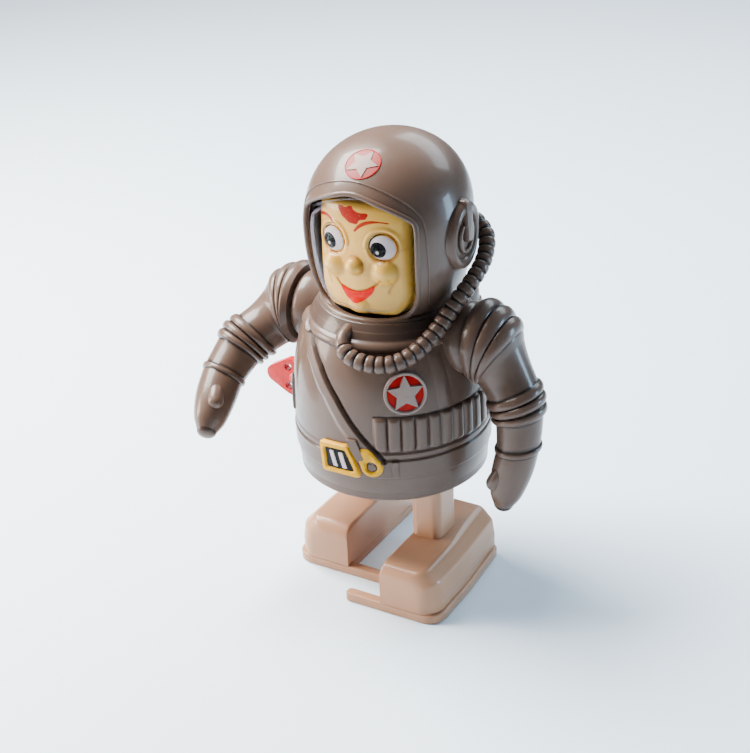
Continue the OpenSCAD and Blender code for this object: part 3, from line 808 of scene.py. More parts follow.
HELMET_LONG = 1.03
HELMET_LEAN = 5.0
HELMET_MIDDLE = Vector((0, HELMET_Y, HELMET_WIDE_Z))
HELMET_STEPS = 192
COLLAR_R, COLLAR_TOP, COLLAR_LONG = 41.2, 180.6, 1.02
COLLAR_ROLLS = [(38.9, 2.6, 182.0, 2.7), (41.9, 1.2, 177.2, 3.0)]       # radius, middle y, height, thickness
OPENING = [(0, 258.0), (19, 253.0), (31.5, 246.2), (35.2, 240.5), (35.8, 228), (35.1, 211), (33.2, 197),
           (29, 188), (22, 183.6), (10, 182.2), (0, 181.9)]
OPENING_MIDDLE_Z = 220.0
OUTER_LINE = [(-36.5, 191.4), (-39.2, 209.5), (-39.7, 228), (-38.5, 241), (-34.8, 249), (-26.4, 256.4),
              (-13.5, 261.7), (-0.5, 263.7), (13, 261.7), (25.9, 256.4), (34.8, 249), (38.5, 241),
              (39.7, 228), (39.2, 209.5), (36.5, 191.4)]


def helmet_radius(z, inset=0.0):
    if z > HELMET_WIDE_Z:
        part = (z - HELMET_WIDE_Z) / (CROWN_Z - inset - HELMET_WIDE_Z)
        return (HELMET_R - inset) * sqrt(max(0.0, 1 - part ** 2.3))
    part = (HELMET_WIDE_Z - z) / (HELMET_WIDE_Z - HELMET_Z0)
    return HELMET_R - inset - HELMET_FOOT_IN * part ** 2.3


def helmet_middle_y(z):
    """The dome leans back towards its crown."""
    part = max(0.0, z - HELMET_WIDE_Z) / (CROWN_Z - HELMET_WIDE_Z)
    return HELMET_Y + HELMET_LEAN * min(part, 1.0) ** 1.3


def helmet_ring(radius, z, long=HELMET_LONG):
    middle = helmet_middle_y(z)
    turns = [2 * pi * k / HELMET_STEPS for k in range(HELMET_STEPS)]
    return [(radius * cos(a), middle + long * radius * sin(a), z) for a in turns]


def helmet_front(x, z, depth=0.0):
    """The helmet's front surface at x and z, or a surface that much further in."""
    r = helmet_radius(z, depth)
    return helmet_middle_y(z) - HELMET_LONG * sqrt(max(r * r - x * x, 0.0))


def on_helmet(point, height):
    """The place on the dome in the direction of point, raised by height."""
    out = (Vector(point) - HELMET_MIDDLE).normalized()
    low, high = 0.0, 80.0
    for _ in range(30):
        reach = (low + high) / 2
        at = HELMET_MIDDLE + out * reach
        if at.z < CROWN_Z and hypot(at.x, (at.y - helmet_middle_y(at.z)) / HELMET_LONG) < helmet_radius(at.z):
            low = reach
        else:
            high = reach
    return HELMET_MIDDLE + out * (low + height)


def opening_outline(steps=8):
    half = OPENING + [(-x, z) for x, z in reversed(OPENING[1:-1])]
    return smooth_flat(half, steps, closed=True)


def shrink_opening(outline, by):
    """The opening's outline moved in by about that many mm."""
    out = []
    for x, z in outline:
        away = Vector((x, (z - OPENING_MIDDLE_Z) * 0.92))
        k = 1 - by / max(away.length, 1e-6)
        out.append((x * k, OPENING_MIDDLE_Z + (z - OPENING_MIDDLE_Z) * k))
    return out


def helmet():
    """The dome is cut through at the opening as a solid, then opened up and given its wall."""
    foot = COLLAR_TOP + 0.9
    rings = [helmet_ring(helmet_radius(z), z) for z in
             [HELMET_WIDE_Z + (CROWN_Z - HELMET_WIDE_Z) * sin(radians(3 * k)) for k in range(30, -1, -1)]
             + [HELMET_WIDE_Z - (HELMET_WIDE_Z - foot) * k / 20 for k in range(1, 21)]]
    verts, faces = loft(rings, cap=False)
    faces.append(tuple(range(len(verts) - HELMET_STEPS, len(verts))))
    shell = bare("helmet_skin", verts, faces)
    outline = opening_outline()
    cut(shell, bare("opening_tool", *loft([[(x, y, z) for x, z in outline] for y in (-70.0, -4.0)])))
    drop_faces(shell, lambda p: p.z < foot + 0.01 or
               hypot(p.x, (p.y - helmet_middle_y(p.z)) / HELMET_LONG) < helmet_radius(p.z) - 0.5)
    apply(shell, "SOLIDIFY", thickness=SHELL * MM, offset=-1.0)
    finish_piece(shell, suit_plastic, "torso", "suit_plastic", ["helmet_shell"], 40)

    section = [(40.0, COLLAR_TOP + 1.2), (40.6, COLLAR_TOP + 0.3), (COLLAR_R - 1.0, COLLAR_TOP),
               (COLLAR_R - 0.3, COLLAR_TOP - 0.35), (COLLAR_R, COLLAR_TOP - 1.1), (COLLAR_R, NECK_Z + 1.0),
               (COLLAR_R - 0.5, NECK_Z + 0.1), (37.0, NECK_Z + 0.1), (37.0, COLLAR_TOP + 1.2)]
    collar = loft([helmet_ring(radius, z, COLLAR_LONG) for radius, z in section], close=True)
    on_suit("helmet_collar", collar, shade_reach=0.8)

    for index, (radius, middle_y, z, thick) in enumerate(COLLAR_ROLLS):
        path = [Vector((x, middle_y + COLLAR_LONG * y, z)) for x, y in circle(radius, 144)]
        on_suit(f"collar_roll_{index}", tube(path, thick, 20, closed=True), shade_reach=1.0)

    rim = even_line([Vector((x, helmet_front(x, z) + 0.5, z)) for x, z in outline + outline[:1]], 1.0)[:-1]
    on_suit("helmet_rim", tube(rim, 1.55, 14, closed=True))
    line = smooth_line([(x, z, 0) for x, z in OUTER_LINE], 10)
    line = even_line([Vector((p.x, helmet_front(p.x, p.y) - 0.05, p.y)) for p in line], 1.0)
    on_suit("helmet_line", tube(line, 0.55, 8))


def drop_faces(obj, unwanted):
    """Deletes the faces whose middle, in mm in the figure's own frame, is unwanted."""
    shape = bmesh.new()
    shape.from_mesh(obj.data)
    gone = [face for face in shape.faces
            if unwanted(face.calc_center_median() / MM - Vector((0, AXIS_Y, 0)))]
    bmesh.ops.delete(shape, geom=gone, context="FACES")
    shape.to_mesh(obj.data)
    shape.free()


STAR_AT = Vector((-0.2, -24.2, 272.6))
STAR_R = 10.8
EAR_AT, EAR_HALF = (3.5, 227.0), (17.0, 20.6)          # middle as y, z; half width and half height


def helmet_star():
    out = (STAR_AT - HELMET_MIDDLE).normalized()
    across = (Vector((1, 0, 0)) - out * out.x).normalized()
    up = out.cross(across)

    def place(a, b, height):
        return on_helmet(STAR_AT + across * a + up * b, height)

    wash = plate(circle(STAR_R - 0.2), place, -0.4, 0.20, soft=0.1, rings=12)
    on_suit("helmet_star_wash", wash, pink_paint)
    ring = ribbon(circle(STAR_R, 72), 0.75, place, -0.2, 0.42, closed=True)
    on_suit("helmet_star_ring", ring, red_paint)
    for name, inset, material, height in (("edge", 0.2, red_paint, 0.36), ("star", 0.8, star_paint, 0.62)):
        outline = star(5, STAR_R - inset, (STAR_R - inset) * 0.50, 73, 5)
        on_suit(f"helmet_star_{name}", plate(outline, place, -0.4, height, soft=0.1, rings=12), material)


def ear_cup():
    """A thick oval ring on the helmet's left side with a strap tongue running down into its middle."""
    def place(across, up, height):
        y, z = EAR_AT[0] + across, EAR_AT[1] + up
        r = helmet_radius(z)
        return (sqrt(r * r - ((y - helmet_middle_y(z)) / HELMET_LONG) ** 2) + height, y, z)

    def oval(part):
        return [(EAR_HALF[0] * part * x, EAR_HALF[1] * part * z) for x, z in circle(1.0, 72)]

    section = [(0, -3.0), (0.02, 0.8), (0.10, 2.6), (0.26, 3.7), (0.50, 3.9), (0.74, 3.1), (0.90, 1.6),
               (1.0, -3.0)]
    ring = frame_ring(oval(1.0), oval(0.62), section, place)
    on_suit("ear_cup_ring", ring, replaces=["ear_cup_left"], shade_reach=1.2)
    on_suit("ear_cup_floor", plate(oval(0.64), place, -3.0, 1.0))
    hook = [(7.0 * sin(radians(a)), 9.6 * cos(radians(a))) for a in range(38, 323, 6)]
    on_suit("ear_hook", tube([Vector(place(a, b, 1.6)) for a, b in hook], 1.4, 12), shade_reach=0.8)
    tongue = rounded([(-3.2, 21.5, 2.6), (3.2, 21.5, 2.6), (3.2, -3.4, 3.0), (-3.2, -3.4, 3.0)], 2.6, 8)
    on_suit("ear_tongue", plate(tongue, place, -2.0, 4.6, soft=1.3, rings=4))


# ---- visor and face ----

def visor():
    """A clear tray: a curved front, side walls and a lip that is cemented behind the opening."""
    outline = opening_outline(6)
    section = [(-2.6, 3.2), (3.2, 4.4), (4.6, 7.2), (5.4, 6.8), (6.0, 5.0), (6.4, 2.4), (7.4, 1.6)]
    rings = []
    for inset, depth in section:
        moved = shrink_opening(outline, inset)
        rings.append([(x, helmet_front(x, z, depth), z) for x, z in moved])
    last = shrink_opening(outline, section[-1][0])
    for k in range(1, 12):
        part = 1 - k / 12
        ring = [(x * part, OPENING_MIDDLE_Z + (z - OPENING_MIDDLE_Z) * part) for x, z in last]
        rings.append([(x, helmet_front(x, z, section[-1][1]), z) for x, z in ring])
    verts, faces = loft(rings, cap=False)
    count = len(outline)
    verts.append((0, helmet_front(0, OPENING_MIDDLE_Z, section[-1][1]), OPENING_MIDDLE_Z))
    start = (len(rings) - 1) * count
    faces += [(start + k, start + (k + 1) % count, len(verts) - 1) for k in range(count)]
    sheet = bare("visor_window", verts, faces)
    apply(sheet, "SOLIDIFY", thickness=0.9 * MM, offset=0.0)
    finish_piece(sheet, visor_plastic, "torso", "clear_plastic", ["visor"], 60)


EYE_Z, EYE_X, EYE_R = 227.3, 15.8, 7.9
FACE_HALF, FACE_BOW, FACE_BOW_AT = 28.8, 10.5, 33        # half width; how far back it has curved at that x
FACE_Z0, FACE_Z1 = 184.0, 251.0
# Cheeks, nose and chin, as (x, z, radius, how far forward, blend)
FACE_LUMPS = [(-15.0, 212.6, 9.0, 36.4, 1.5), (15.2, 212.4, 9.0, 36.4, 1.5),
              (-1.0, 214.6, 5.4, 40.4, 1.2), (0.0, 189.5, 8.0, 35.6, 3.0)]
CREASE = [(18.6, 200.5), (20.6, 205.0), (20.0, 209.0)]
PUPIL_R, PUPIL_SHIFT = 4.7, (-2.3, -1.3)
SMILE = [(-14.2, 203.8), (-11.6, 200.8), (-6.5, 199.2), (-0.3, 198.9), (6, 200.8), (11.2, 204.2),
         (15.4, 208.2)]
MOUTH = [(-11.6, 200.6), (-8.5, 199.7), (-4.5, 199.1), (-0.3, 199), (4, 200), (7.5, 201.8), (10.6, 203.8),
         (9.6, 199.8), (6, 195.8), (1.6, 192.8), (-2.2, 191.6), (-6.4, 193.1), (-9.6, 196.5)]
BROWS = [("left", [(-1.0, 235.0), (2.5, 238.6), (7.0, 240.9), (12.5, 241.8), (19.0, 241.4)]),
         ("right", [(-28.0, 238.6), (-23.0, 240.0), (-18.0, 238.9), (-13.6, 235.8)])]
TUFT = [(-13.5, 247.4), (-4, 248.4), (7.5, 245.6), (6.0, 242.6), (2.2, 241.8), (0.8, 239.2), (-4.2, 239.4),
        (-9.5, 242.6)]


def ball(x, z, cx, cz, radius, tip):
    """How far a ball whose foremost point stands at tip comes out at x, z; None beyond its edge."""
    far = ((x - cx) ** 2 + (z - cz) ** 2) / radius ** 2
    return tip - radius + radius * sqrt(1 - far) if far < 1 else None


def distance_to(line, x, z):
    best = 1e9
    for (x0, z0), (x1, z1) in zip(line, line[1:]):
        dx, dz = x1 - x0, z1 - z0
        t = min(max(((x - x0) * dx + (z - z0) * dz) / (dx * dx + dz * dz), 0.0), 1.0)
        best = min(best, hypot(x - x0 - dx * t, z - z0 - dz * t))
    return best


def soft_max(a, b, width):
    gap = max(width - abs(a - b), 0.0) / width
    return max(a, b) + gap * gap * width / 4


def face_reach(x, z):
    """How far the face stands forward of the figure's axis."""
    reach = 35.0 - FACE_BOW * (x / FACE_BOW_AT) ** 2 - 3.0 * ((z - 214) / 40) ** 2
    reach -= 2.2 * max(0.0, (z - 240) / 12) ** 2 + 2.0 * max(0.0, (190 - z) / 8) ** 2
    for cx, cz, radius, tip, blend in FACE_LUMPS:
        lump = ball(x, z, cx, cz, radius, tip)
        if lump is not None:
            reach = soft_max(reach, lump, blend)
    for side in (-1, 1):
        away = hypot(x - side * EYE_X, (z - EYE_Z) * 0.95)
        if away < EYE_R:
            reach = 34.0 - FACE_BOW * (EYE_X / FACE_BOW_AT) ** 2 + 1.6 * (1 - (away / EYE_R) ** 2)
            reach -= side * 0.25 * (x - side * EYE_X)
        reach -= 0.55 * max(0.0, 1 - abs(away - EYE_R - 0.4) / 0.7)
        reach += 0.7 * max(0.0, 1 - abs(away - EYE_R - 2.0) / 1.6) * (1 if z > EYE_Z - 1 else 0.3)
    lip = distance_to(SMILE, x, z)
    reach -= 0.7 * max(0.0, 1 - lip / 1.1)
    for side in (-1, 1):
        crease = distance_to([(side * cx, cz) for cx, cz in CREASE], x, z)
        reach -= 0.45 * max(0.0, 1 - crease / 1.8) ** 2
    half = FACE_HALF - 7.0 * (max(0.0, 200.0 - z) / 15.0) ** 2
    edge = max(0.0, (abs(x) - half + 4.0) / 4.0)
    top = max(0.0, (z - FACE_Z1 + 4.0) / 4.0, (FACE_Z0 + 3.0 - z) / 3.0)
    for part in (min(edge, 1.0), min(top, 1.0)):
        reach -= 6.0 * (1 - sqrt(1 - part * part))
    return reach


def face_place(x, z, height):
    return (x, -face_reach(x, z) - height, z)


def about(cx, cz):
    def place(across, up, height):
        return face_place(cx + across, cz + up, height)
    return place


def face():
    gap = 0.4
    columns = int(2 * FACE_HALF / gap) + 1
    rows = int((FACE_Z1 - FACE_Z0) / gap) + 1
    verts = []
    for i in range(rows):
        z = FACE_Z0 + (FACE_Z1 - FACE_Z0) * i / (rows - 1)
        for j in range(columns):
            verts.append(face_place(-FACE_HALF + 2 * FACE_HALF * j / (columns - 1), z, 0))
    faces = grid_faces(rows, columns)
    around = (list(range(columns)) + [i * columns + columns - 1 for i in range(1, rows)]
              + [(rows - 1) * columns + j for j in range(columns - 2, -1, -1)]
              + [i * columns for i in range(rows - 2, 0, -1)])
    back = [(verts[k][0], -9.0, verts[k][2]) for k in around]
    start = len(verts)
    verts += back
    count = len(around)
    faces += [(around[k], around[(k + 1) % count], start + (k + 1) % count, start + k) for k in range(count)]
    faces.append(tuple(start + k for k in range(count)))
    piece("face_skin", verts, faces, skin_plastic, "torso", "face_plastic", ["face_mask"], 60, shade_reach=1.0)


def painted(name, mesh, material):
    piece(name, *mesh, material, "torso", "face_plastic")


def arc(radius, start, end, step):
    """Points along a circle about (0, 0), from one angle up to another."""
    return [(radius * cos(radians(a)), radius * sin(radians(a))) for a in range(start, end, step)]


def swelling(thin, more):
    """A line's width that grows from thin by more towards its middle."""
    return lambda t: thin + more * sin(pi * t)


def eye_paint(side, name):
    place = about(side * EYE_X, EYE_Z)
    painted(f"eye_white_{name}", plate(circle(EYE_R - 0.8, 48), place, -0.3, 0.10, 0.08, 10), white_paint)
    line = ribbon(arc(EYE_R - 0.2, 75, 216, 5), swelling(0.35, 0.75), place, -0.3, 0.14)
    painted(f"eye_line_{name}", line, black_paint)
    painted(f"eye_ring_{name}", ribbon(arc(EYE_R - 0.1, 212, 440, 6), 0.30, place, -0.3, 0.12), brow_paint)
    x, z = side * EYE_X + PUPIL_SHIFT[0], EYE_Z + PUPIL_SHIFT[1]
    painted(f"pupil_{name}", plate(circle(PUPIL_R, 40), about(x, z), -0.2, 0.20, 0.08), black_paint)
    glint = plate(circle(0.95, 20), about(x - 0.4, z - 1.6), -0.1, 0.30, 0.08, 2)
    painted(f"glint_{name}", glint, white_paint)


def face_paint():
    for side, name in ((-1, "right"), (1, "left")):
        eye_paint(side, name)
    on_face = about(0, 0)
    for name, line in BROWS:
        brow = ribbon(smooth_flat(line, 8), lambda t: 0.9 + 1.5 * sin(pi * min(t * 1.1 + 0.1, 1.0)),
                      on_face, -0.2, 0.12)
        painted(f"brow_{name}", brow, brow_paint)
    painted("hair_tuft", plate(rounded(TUFT, 0.8, 3), on_face, -0.2, 0.14, 0.08, 8), hair_paint)
    painted("mouth_red", plate(smooth_flat(MOUTH, 4, True), on_face, -0.2, 0.12, 0.08, 8), lip_paint)
    smile = ribbon(smooth_flat(SMILE, 6), swelling(0.15, 0.45), on_face, -0.3, 0.16)
    painted("smile_line", smile, brow_paint)


# ---- hose and pack ----

HOSE_R, RIB = 5.0, 5.6
HOSE_PATH = [(33, 33, 226), (38, 32.5, 225), (44, 31, 222), (50.5, 26, 217), (53.8, 16, 209.5), (54, 4, 203),
             (51.5, -7, 196), (48, -15, 188.5), (45.2, -22.5, 181), (41, -32, 174), (36, -40.5, 169),
             (29.5, -47, 166), (21.5, -51.5, 165), (13, -54, 166), (5.5, -54.3, 168), (0, -52.6, 171.4),
             (-2.6, -49, 174.8), (-2.7, -44, 176.8), (-2.2, -38, 178.6)]
HOSE_GAP = 0.4                             # distance between the rings of the hose's skin
NOZZLE = 17.0                              # length of the smooth stretch at the chin
TANK_R, TANK_X, TANK_Y = 13, 18.5, 50
TANK_Z0, TANK_Z1 = 131, 167                # the straight part of a tank
TANK_BANDS = [("low", 136.0, 140.5), ("high", 158.5, 163.0)]


def air_hose():
    path = even_line(smooth_line(HOSE_PATH, 12), HOSE_GAP)
    length = HOSE_GAP * (len(path) - 1)

    def radius(t):
        along = t * length
        ribbed = 1 - step_up(along, length - NOZZLE, length - NOZZLE + 1)
        groove = (1 - abs(sin(pi * along / RIB))) ** 2.2
        return HOSE_R - 1.25 * groove * ribbed - 0.9 * (1 - ribbed)

    on_suit("air_hose_skin", tube(path, radius, 28, up=(0, 0, 1)), replaces=["air_hose"], sharp=60,
            shade_reach=1.3)


def tank_profile():
    profile = [(0, TANK_Z0 - 7.5)]
    for k in range(1, 8):
        a = radians(90 * k / 8)
        profile.append((TANK_R * sin(a) ** 0.8, TANK_Z0 - 7.0 * cos(a)))
    profile += [(TANK_R, TANK_Z0), (TANK_R, TANK_Z1)]
    for k in range(1, 12):
        a = radians(90 * k / 12)
        profile.append((TANK_R * cos(a) ** 0.85, TANK_Z1 + 11 * sin(a)))
    return profile + [(0, TANK_Z1 + 11)]


def air_pack():
    """Two rounded cylinders on a back plate, with two bands round both."""
    for side, name in ((-1, "right"), (1, "left")):
        tank = lathe(tank_profile(), 64, (side * TANK_X, TANK_Y), "z")
        on_suit(f"air_tank_{name}", tank, replaces=["air_pack"] if side > 0 else [])
    for name, low, high in TANK_BANDS:
        outline = rounded([(-32.3, 36.5, 6), (32.3, 36.5, 6), (32.3, 63.4, 13), (-32.3, 63.4, 13)], 8, 10)
        strap = bare(f"tank_band_{name}", *prism(outline, low, high))
        bevel(strap, 1.0)
        finish_piece(strap, suit_plastic, "torso", "suit_plastic")
    outline = rounded([(-24, 34, 3), (24, 34, 3), (24, 48, 3), (-24, 48, 3)], 3)
    block = bare("tank_mount", *prism(outline, 128, 172))
    bevel(block, 1.5)
    finish_piece(block, suit_plastic, "torso", "suit_plastic")
    cap = [(0, 176), (4.6, 176), (4.6, 179.0), (3.8, 180.2), (2.2, 180.6), (0, 180.6)]
    for side, name in ((-1, "right"), (1, "left")):
        on_suit(f"tank_valve_{name}", lathe(cap, 40, (side * TANK_X, TANK_Y), "z"))


# ---- arms ----

# Sections down the hanging left arm: middle x, y, z, tilt of its width from +X up, half width, half depth
ARM = [(57.8, 0, 165.8, 90, 22.4, 22.2), (61.4, 0, 165.0, 88, 24.4, 22.8),
       (65.4, 0, 163.7, 78, 23.7, 22.0), (68.9, 0, 161.4, 68, 22.5, 21.0),
       (71.5, 0, 158.1, 58, 20.7, 19.5), (72.6, -0.1, 154.2, 49, 18.1, 17.5),
       (73.9, -0.4, 150.6, 38, 16.7, 16.4), (76.4, -0.9, 146.4, 29, 15.8, 15.6),
       (80.7, -2.3, 139.7, 26, 15.4, 15.3), (84.8, -4.2, 132.5, 22, 15.1, 15.1),
       (86.6, -5.6, 122.5, 11, 13.8, 13.8), (87.3, -8.4, 108.5, 6, 12.7, 12.9),
       (86.3, -9.9, 101.0, 2, 12.4, 13.0), (84.9, -11.2, 93.0, -3, 12.0, 12.8),
       (83.2, -12.4, 85.0, -7, 10.9, 11.9), (81.6, -13.0, 77.0, -9, 9.0, 10.2),
       (80.2, -13.4, 70.5, -12, 5.8, 6.6)]
PLEAT_TILTS = (92.0, 57.0)                 # tilts where the pleats start and end
PLEATS = 3
ELBOW_RINGS = (127.6, 132.5, 137.4)        # heights of the rings' middles
WRIST_RING = 107.8
RIGHT_SWING = 48.0


def arm_sections(steps):
    count = len(ARM)
    for i in range(count - 1):
        for s in range(steps):
            t = s / steps
            near = zip(ARM[max(i - 1, 0)], ARM[i], ARM[i + 1], ARM[min(i + 2, count - 1)])
            yield i + t, [curve_point(a, b, c, d, t) for a, b, c, d in near]
    yield count - 1, list(ARM[-1])


def roll(offset, half, height):
    """Height of a rounded ring at that distance from its middle."""
    part = offset / half
    return height * sqrt(1 - part * part) if abs(part) < 1 else 0.0


def arm_relief(place, z, tilt, outward):
    """Height of pleats and rings at section number place; outward is 1 outside, -1 at the armpit."""
    start, end = PLEAT_TILTS
    height = 0.0
    if end < tilt < start and place < 7:
        part = (start - tilt) / (start - end) * PLEATS % 1
        height += (2.5 * sqrt(1 - (2 * part - 1) ** 2) - 0.5) * (0.60 + 0.40 * outward)
    if 7 < place < 11:
        height += sum(roll(z - ring_z, 2.45, 2.2) for ring_z in ELBOW_RINGS)
    if 10 < place < 12:
        height += roll(z - WRIST_RING, 1.9, 1.2)
    return height


def arm_mesh():
    sides = 64
    rings = []
    for place, (x, y, z, tilt, wide, deep) in arm_sections(26):
        across = Vector((cos(radians(tilt)), 0, sin(radians(tilt))))
        ring = []
        for k in range(sides):
            a = 2 * pi * k / sides
            height = arm_relief(place, z, tilt, cos(a))
            ring.append(Vector((x, y, z)) + across * ((wide + height) * cos(a))
                        - Vector((0, 1, 0)) * ((deep + height) * sin(a)))
        rings.append(ring)
    x, y, z, tilt, wide, deep = ARM[-1]
    across = Vector((cos(radians(tilt)), 0, sin(radians(tilt))))
    for k in range(1, 9):
        a = radians(90 * k / 8)
        middle = Vector((x - 0.6 * sin(a), y, z - 4.2 * sin(a)))
        shrink = cos(a)
        rings.append([middle + across * (wide * shrink * cos(2 * pi * j / sides))
                      - Vector((0, 1, 0)) * (deep * shrink * sin(2 * pi * j / sides)) for j in range(sides)])
    verts, faces = loft(rings, cap=False)
    faces.append(tuple(range(sides)))
    return verts, faces


def thumb_mesh():
    route = [(84.0, -13.0, 101.0), (82.0, -17.4, 95.0), (78.6, -20.4, 89.0), (75.4, -20.6, 83.0)]
    path = even_line(smooth_line(route, 10), 0.5)

    def radius(t):
        tip = max(0.0, (t - 0.80) / 0.20)
        return (5.9 - 1.5 * t) * sqrt(max(1 - tip * tip, 0.0)) + 0.01

    return tube(path, radius, 24)


def swung(verts):
    """The right arm: mirrored and swung forward about the shoulder."""
    turn = Matrix.Rotation(-radians(RIGHT_SWING), 3, "X")
    pivot = Vector((0, 0, SHOULDER_Z))
    return [turn @ (Vector((-v[0], v[1], v[2])) - pivot) + pivot for v in verts]


def arms():
    for side, name in ((1, "left"), (-1, "right")):
        for part, mesh in (("skin", arm_mesh()), ("thumb", thumb_mesh())):
            verts, faces = mesh
            if side < 0:
                verts = swung(verts)
            piece(f"arm_{name}_{part}", verts, faces, suit_plastic, f"arm_{name}", "suit_plastic",
                  [f"arm_{name}"] if part == "skin" else [], 50, shade_reach=1.6)


# ---- boots ----

LEG_X = 18.5
TOE_Y, HEEL_Y = -43.0, 45.5
TOE_BAR_TIP, TOE_BAR_W = -6.5, 6.5
TOE_ROUND, HEEL_ROUND = 12, 4


def arc_in(distance, radius):
    """How far a rounded corner stands in, at a distance from the end it rounds."""
    if distance >= radius:
        return 0.0
    return radius - sqrt(max(radius ** 2 - (radius - distance) ** 2, 0.0))


def boot_section(y):
    from_toe, from_heel = y - TOE_Y, HEEL_Y - y
    outer = 55.6 - arc_in(from_toe, TOE_ROUND) - arc_in(from_heel, HEEL_ROUND)
    outer -= 3.2 * step_up(y, -10, HEEL_Y)
    top = BOOT_H - arc_in(from_toe, 8.5) - arc_in(from_heel, 3)
    tall = (top - SOLE_T) / (BOOT_H - SOLE_T)

    def at(z):
        return SOLE_T + (z - SOLE_T) * tall

    corners = [(LEG_X, SOLE_T, 0.8), (outer - 0.2, SOLE_T, 0.8), (outer, at(15), 2.0),
               (outer - 1.6, at(25.5), 5.0), (outer - 9.0, at(BOOT_H), 6.0), (LEG_X, at(BOOT_H), 2.2)]
    return [(x, y, z) for x, z in rounded(corners, steps=6)]


def boot(side, name):
    straight = HEEL_Y - HEEL_ROUND - TOE_Y - TOE_ROUND
    places = [TOE_Y + TOE_ROUND * (1 - cos(radians(90 * k / 12))) for k in range(13)]
    places += [TOE_Y + TOE_ROUND + straight * k / 16 for k in range(1, 17)]
    places += [HEEL_Y - HEEL_ROUND + HEEL_ROUND * sin(radians(90 * k / 6)) for k in range(1, 7)]
    rings = [boot_section(y) for y in places]
    shift = -side * THROW
    mesh = loft([[(side * x, y + shift, z) for x, y, z in ring] for ring in rings])
    piece(f"boot_{name}_skin", *mesh, boot_plastic, f"leg_{name}", "boot_plastic", [f"boot_{name}"], 50)

    plan = rounded([(TOE_BAR_TIP, TOE_Y, 3.2), (57.4, TOE_Y, 12.5), (57.2, 0, 30), (53.6, HEEL_Y, 5),
                    (LEG_X, HEEL_Y, 1.5), (LEG_X, TOE_Y + TOE_BAR_W, 1.2),
                    (TOE_BAR_TIP, TOE_Y + TOE_BAR_W, 3.2)], steps=8)
    outline = [(side * x, y + shift) for x, y in plan]
    sole = bare(f"sole_{name}_skin", *prism(outline, 0, SOLE_T - 0.05))
    bevel(sole, 1.1, 3, 30)
    # Painted shade in the sole's hollows.
    paint_hollow_shade(sole, 0.8)
    finish_piece(sole, boot_plastic, f"leg_{name}", "boot_plastic", [f"sole_{name}"], 50)


# ---- key ----

KEY_LOBES = [(7.5, (-77.0, 5.0)), (7.5, (-77.0, -5.0)), (6.0, (-89.0, 0))]
KEY_HALF = 2.5                             # half the wing's thickness
KEY_EYE_X, KEY_EYE_Z, KEY_EYE_R = -79.0, 6.5, 2.6


def winding_key():
    lobes = [point for radius, middle in KEY_LOBES for point in circle(radius, 40, middle)]
    outline = [lobes[k] for k in geometry.convex_hull_2d(lobes)]
    y, z = DRIVE_AT
    faces = [[(a, y + side * KEY_HALF, z + b) for a, b in outline] for side in (-1, 1)]
    wing = bare("key_wing", *loft(faces))
    for shift in (-KEY_EYE_Z, KEY_EYE_Z):
        tool = [[(KEY_EYE_X + a, y + side * 9, z + shift + b) for a, b in circle(KEY_EYE_R, 32)]
                for side in (-1, 1)]
        cut(wing, bare("key_tool", *loft(tool)))
    bevel(wing, 1.3, 4, 50)
    finish_piece(wing, key_plastic, "key", "key_plastic", ["winding_key"], 50)
    hub = [(2.6, -60.5), (4.4, -60.5), (5.0, -61.1), (5.0, -76.0), (4.2, -77.4), (0, -77.6)]
    piece("key_hub", *lathe(hub, 40, DRIVE_AT, "x"), key_plastic, "key", "key_plastic")


# ---- the carried-over CAD nodes ----

SLOT_LOOKS = {"suit_plastic": suit_plastic, "boot_plastic": boot_plastic, "motor_steel": steel,
              "spring_steel": blue_steel, "wheel_brass": brass}


def finish_cad():
    slots = {part["node"]: part["material_slot"] for part in frame["record"]["subparts"]}
    for name, obj in frame["nodes"].items():
        look = SLOT_LOOKS.get(slots[name])
        if look is not None:
            obj.data.materials.clear()
            obj.data.materials.append(look)


# ---- surroundings ----

def floor():
    n = Nodes("floor_paper")
    cloud = n.noise(1.3, 2.0)
    tone = n.tone(cloud, (0.70, 0.82, 0.93), (0.74, 0.85, 0.95))
    n.wire(tone, "Color", n.shader, "Base Color")
    n.set(Roughness=0.75)
    far = 9000
    verts = [(-far, -far, 0), (far, -far, 0), (far, far, 0), (-far, far, 0)]
    obj = bare("floor", verts, [(0, 1, 2, 3)])
    obj.data.materials.append(n.material)


def area_light(name, location, target, size, power, colour):
    data = bpy.data.lights.new(name, "AREA")
    data.shape = "RECTANGLE"
    data.size, data.size_y = size
    data.energy = power
    data.color = colour
    obj = bpy.data.objects.new(name, data)
    bpy.context.scene.collection.objects.link(obj)
    obj.location = location
    obj.rotation_euler = (Vector(target) - Vector(location)).to_track_quat("-Z", "Y").to_euler()


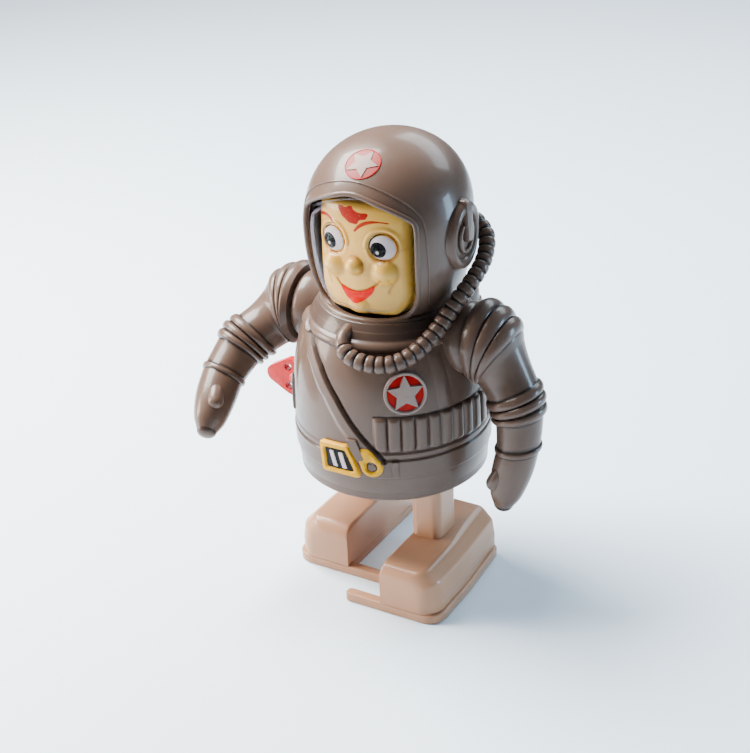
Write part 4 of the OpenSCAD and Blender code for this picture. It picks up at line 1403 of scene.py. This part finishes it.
def lights():
    middle = (0, 0, 0.15)
    area_light("key_softbox", (-0.70, 0.04, 1.08), middle, (0.8, 0.7), 88, (1.0, 0.98, 0.95))
    area_light("back_softbox", (0.10, 1.10, 1.00), (0, 0.2, 0), (1.2, 0.5), 18, (0.80, 0.92, 1.0))
    area_light("left_fill", (-1.15, -0.55, 0.42), middle, (0.45, 0.6), 30, (1.0, 0.90, 0.80))
    area_light("cool_rim", (1.05, 0.55, 0.30), (0, 0, 0.12), (0.25, 0.5), 12, (0.45, 0.72, 1.0))
    world = bpy.data.worlds.new("studio")
    world.use_nodes = True
    tree = world.node_tree
    background = tree.nodes["Background"]
    where = tree.nodes.new("ShaderNodeTexCoord")
    side = tree.nodes.new("ShaderNodeVectorMath")
    side.operation = "DOT_PRODUCT"
    side.inputs[1].default_value = Vector((-0.75, 0.35, 0.56)).normalized()
    tree.links.new(where.outputs["Generated"], side.inputs[0])
    spread = tree.nodes.new("ShaderNodeMapRange")
    spread.inputs["From Min"].default_value = -1
    tree.links.new(side.outputs["Value"], spread.inputs["Value"])
    ramp = tree.nodes.new("ShaderNodeValToRGB")
    ramp.color_ramp.elements[0].position = 0.35
    ramp.color_ramp.elements[0].color = (0.22, 0.30, 0.40, 1)
    ramp.color_ramp.elements[1].position = 0.95
    ramp.color_ramp.elements[1].color = (0.85, 0.93, 1.0, 1)
    tree.links.new(spread.outputs["Result"], ramp.inputs["Fac"])
    tree.links.new(ramp.outputs["Color"], background.inputs["Color"])
    background.inputs["Strength"].default_value = 0.3
    bpy.context.scene.world = world


VIEW_AZIMUTH, VIEW_ELEVATION, VIEW_TURN = 31.2, 27.6, -2.4
VIEW_Y, VIEW_Z = -19.8, 138.1              # the point looked at, in millimetres
VIEW_DISTANCE = 0.9921                     # metres
VIEW_LENS = 81.27


def camera():
    azimuth, elevation, turn = radians(VIEW_AZIMUTH), radians(VIEW_ELEVATION), radians(VIEW_TURN)
    back = Vector((sin(azimuth) * cos(elevation), -cos(azimuth) * cos(elevation), sin(elevation)))
    right = Vector((cos(azimuth), sin(azimuth), 0))
    up = back.cross(right)
    right, up = right * cos(turn) + up * sin(turn), up * cos(turn) - right * sin(turn)
    place = Vector((0, VIEW_Y + AXIS_Y, VIEW_Z)) * MM + back * VIEW_DISTANCE
    data = bpy.data.cameras.new("camera")
    data.lens = VIEW_LENS
    data.clip_end = 50
    obj = bpy.data.objects.new("camera", data)
    bpy.context.scene.collection.objects.link(obj)
    obj.matrix_world = Matrix((right, up, back)).transposed().to_4x4()
    obj.location = place
    bpy.context.scene.camera = obj


finish_cad()
torso()
chest_badge()
buckle()
belt_ring()
belt_loop()
strap_end()
shoulder_seats()
key_bush()
helmet()
helmet_star()
ear_cup()
visor()
face()
face_paint()
air_hose()
air_pack()
arms()
for boot_side, boot_name in ((1, "left"), (-1, "right")):
    boot(boot_side, boot_name)
winding_key()
floor()
lights()
camera()
bpy.context.view_layer.update()
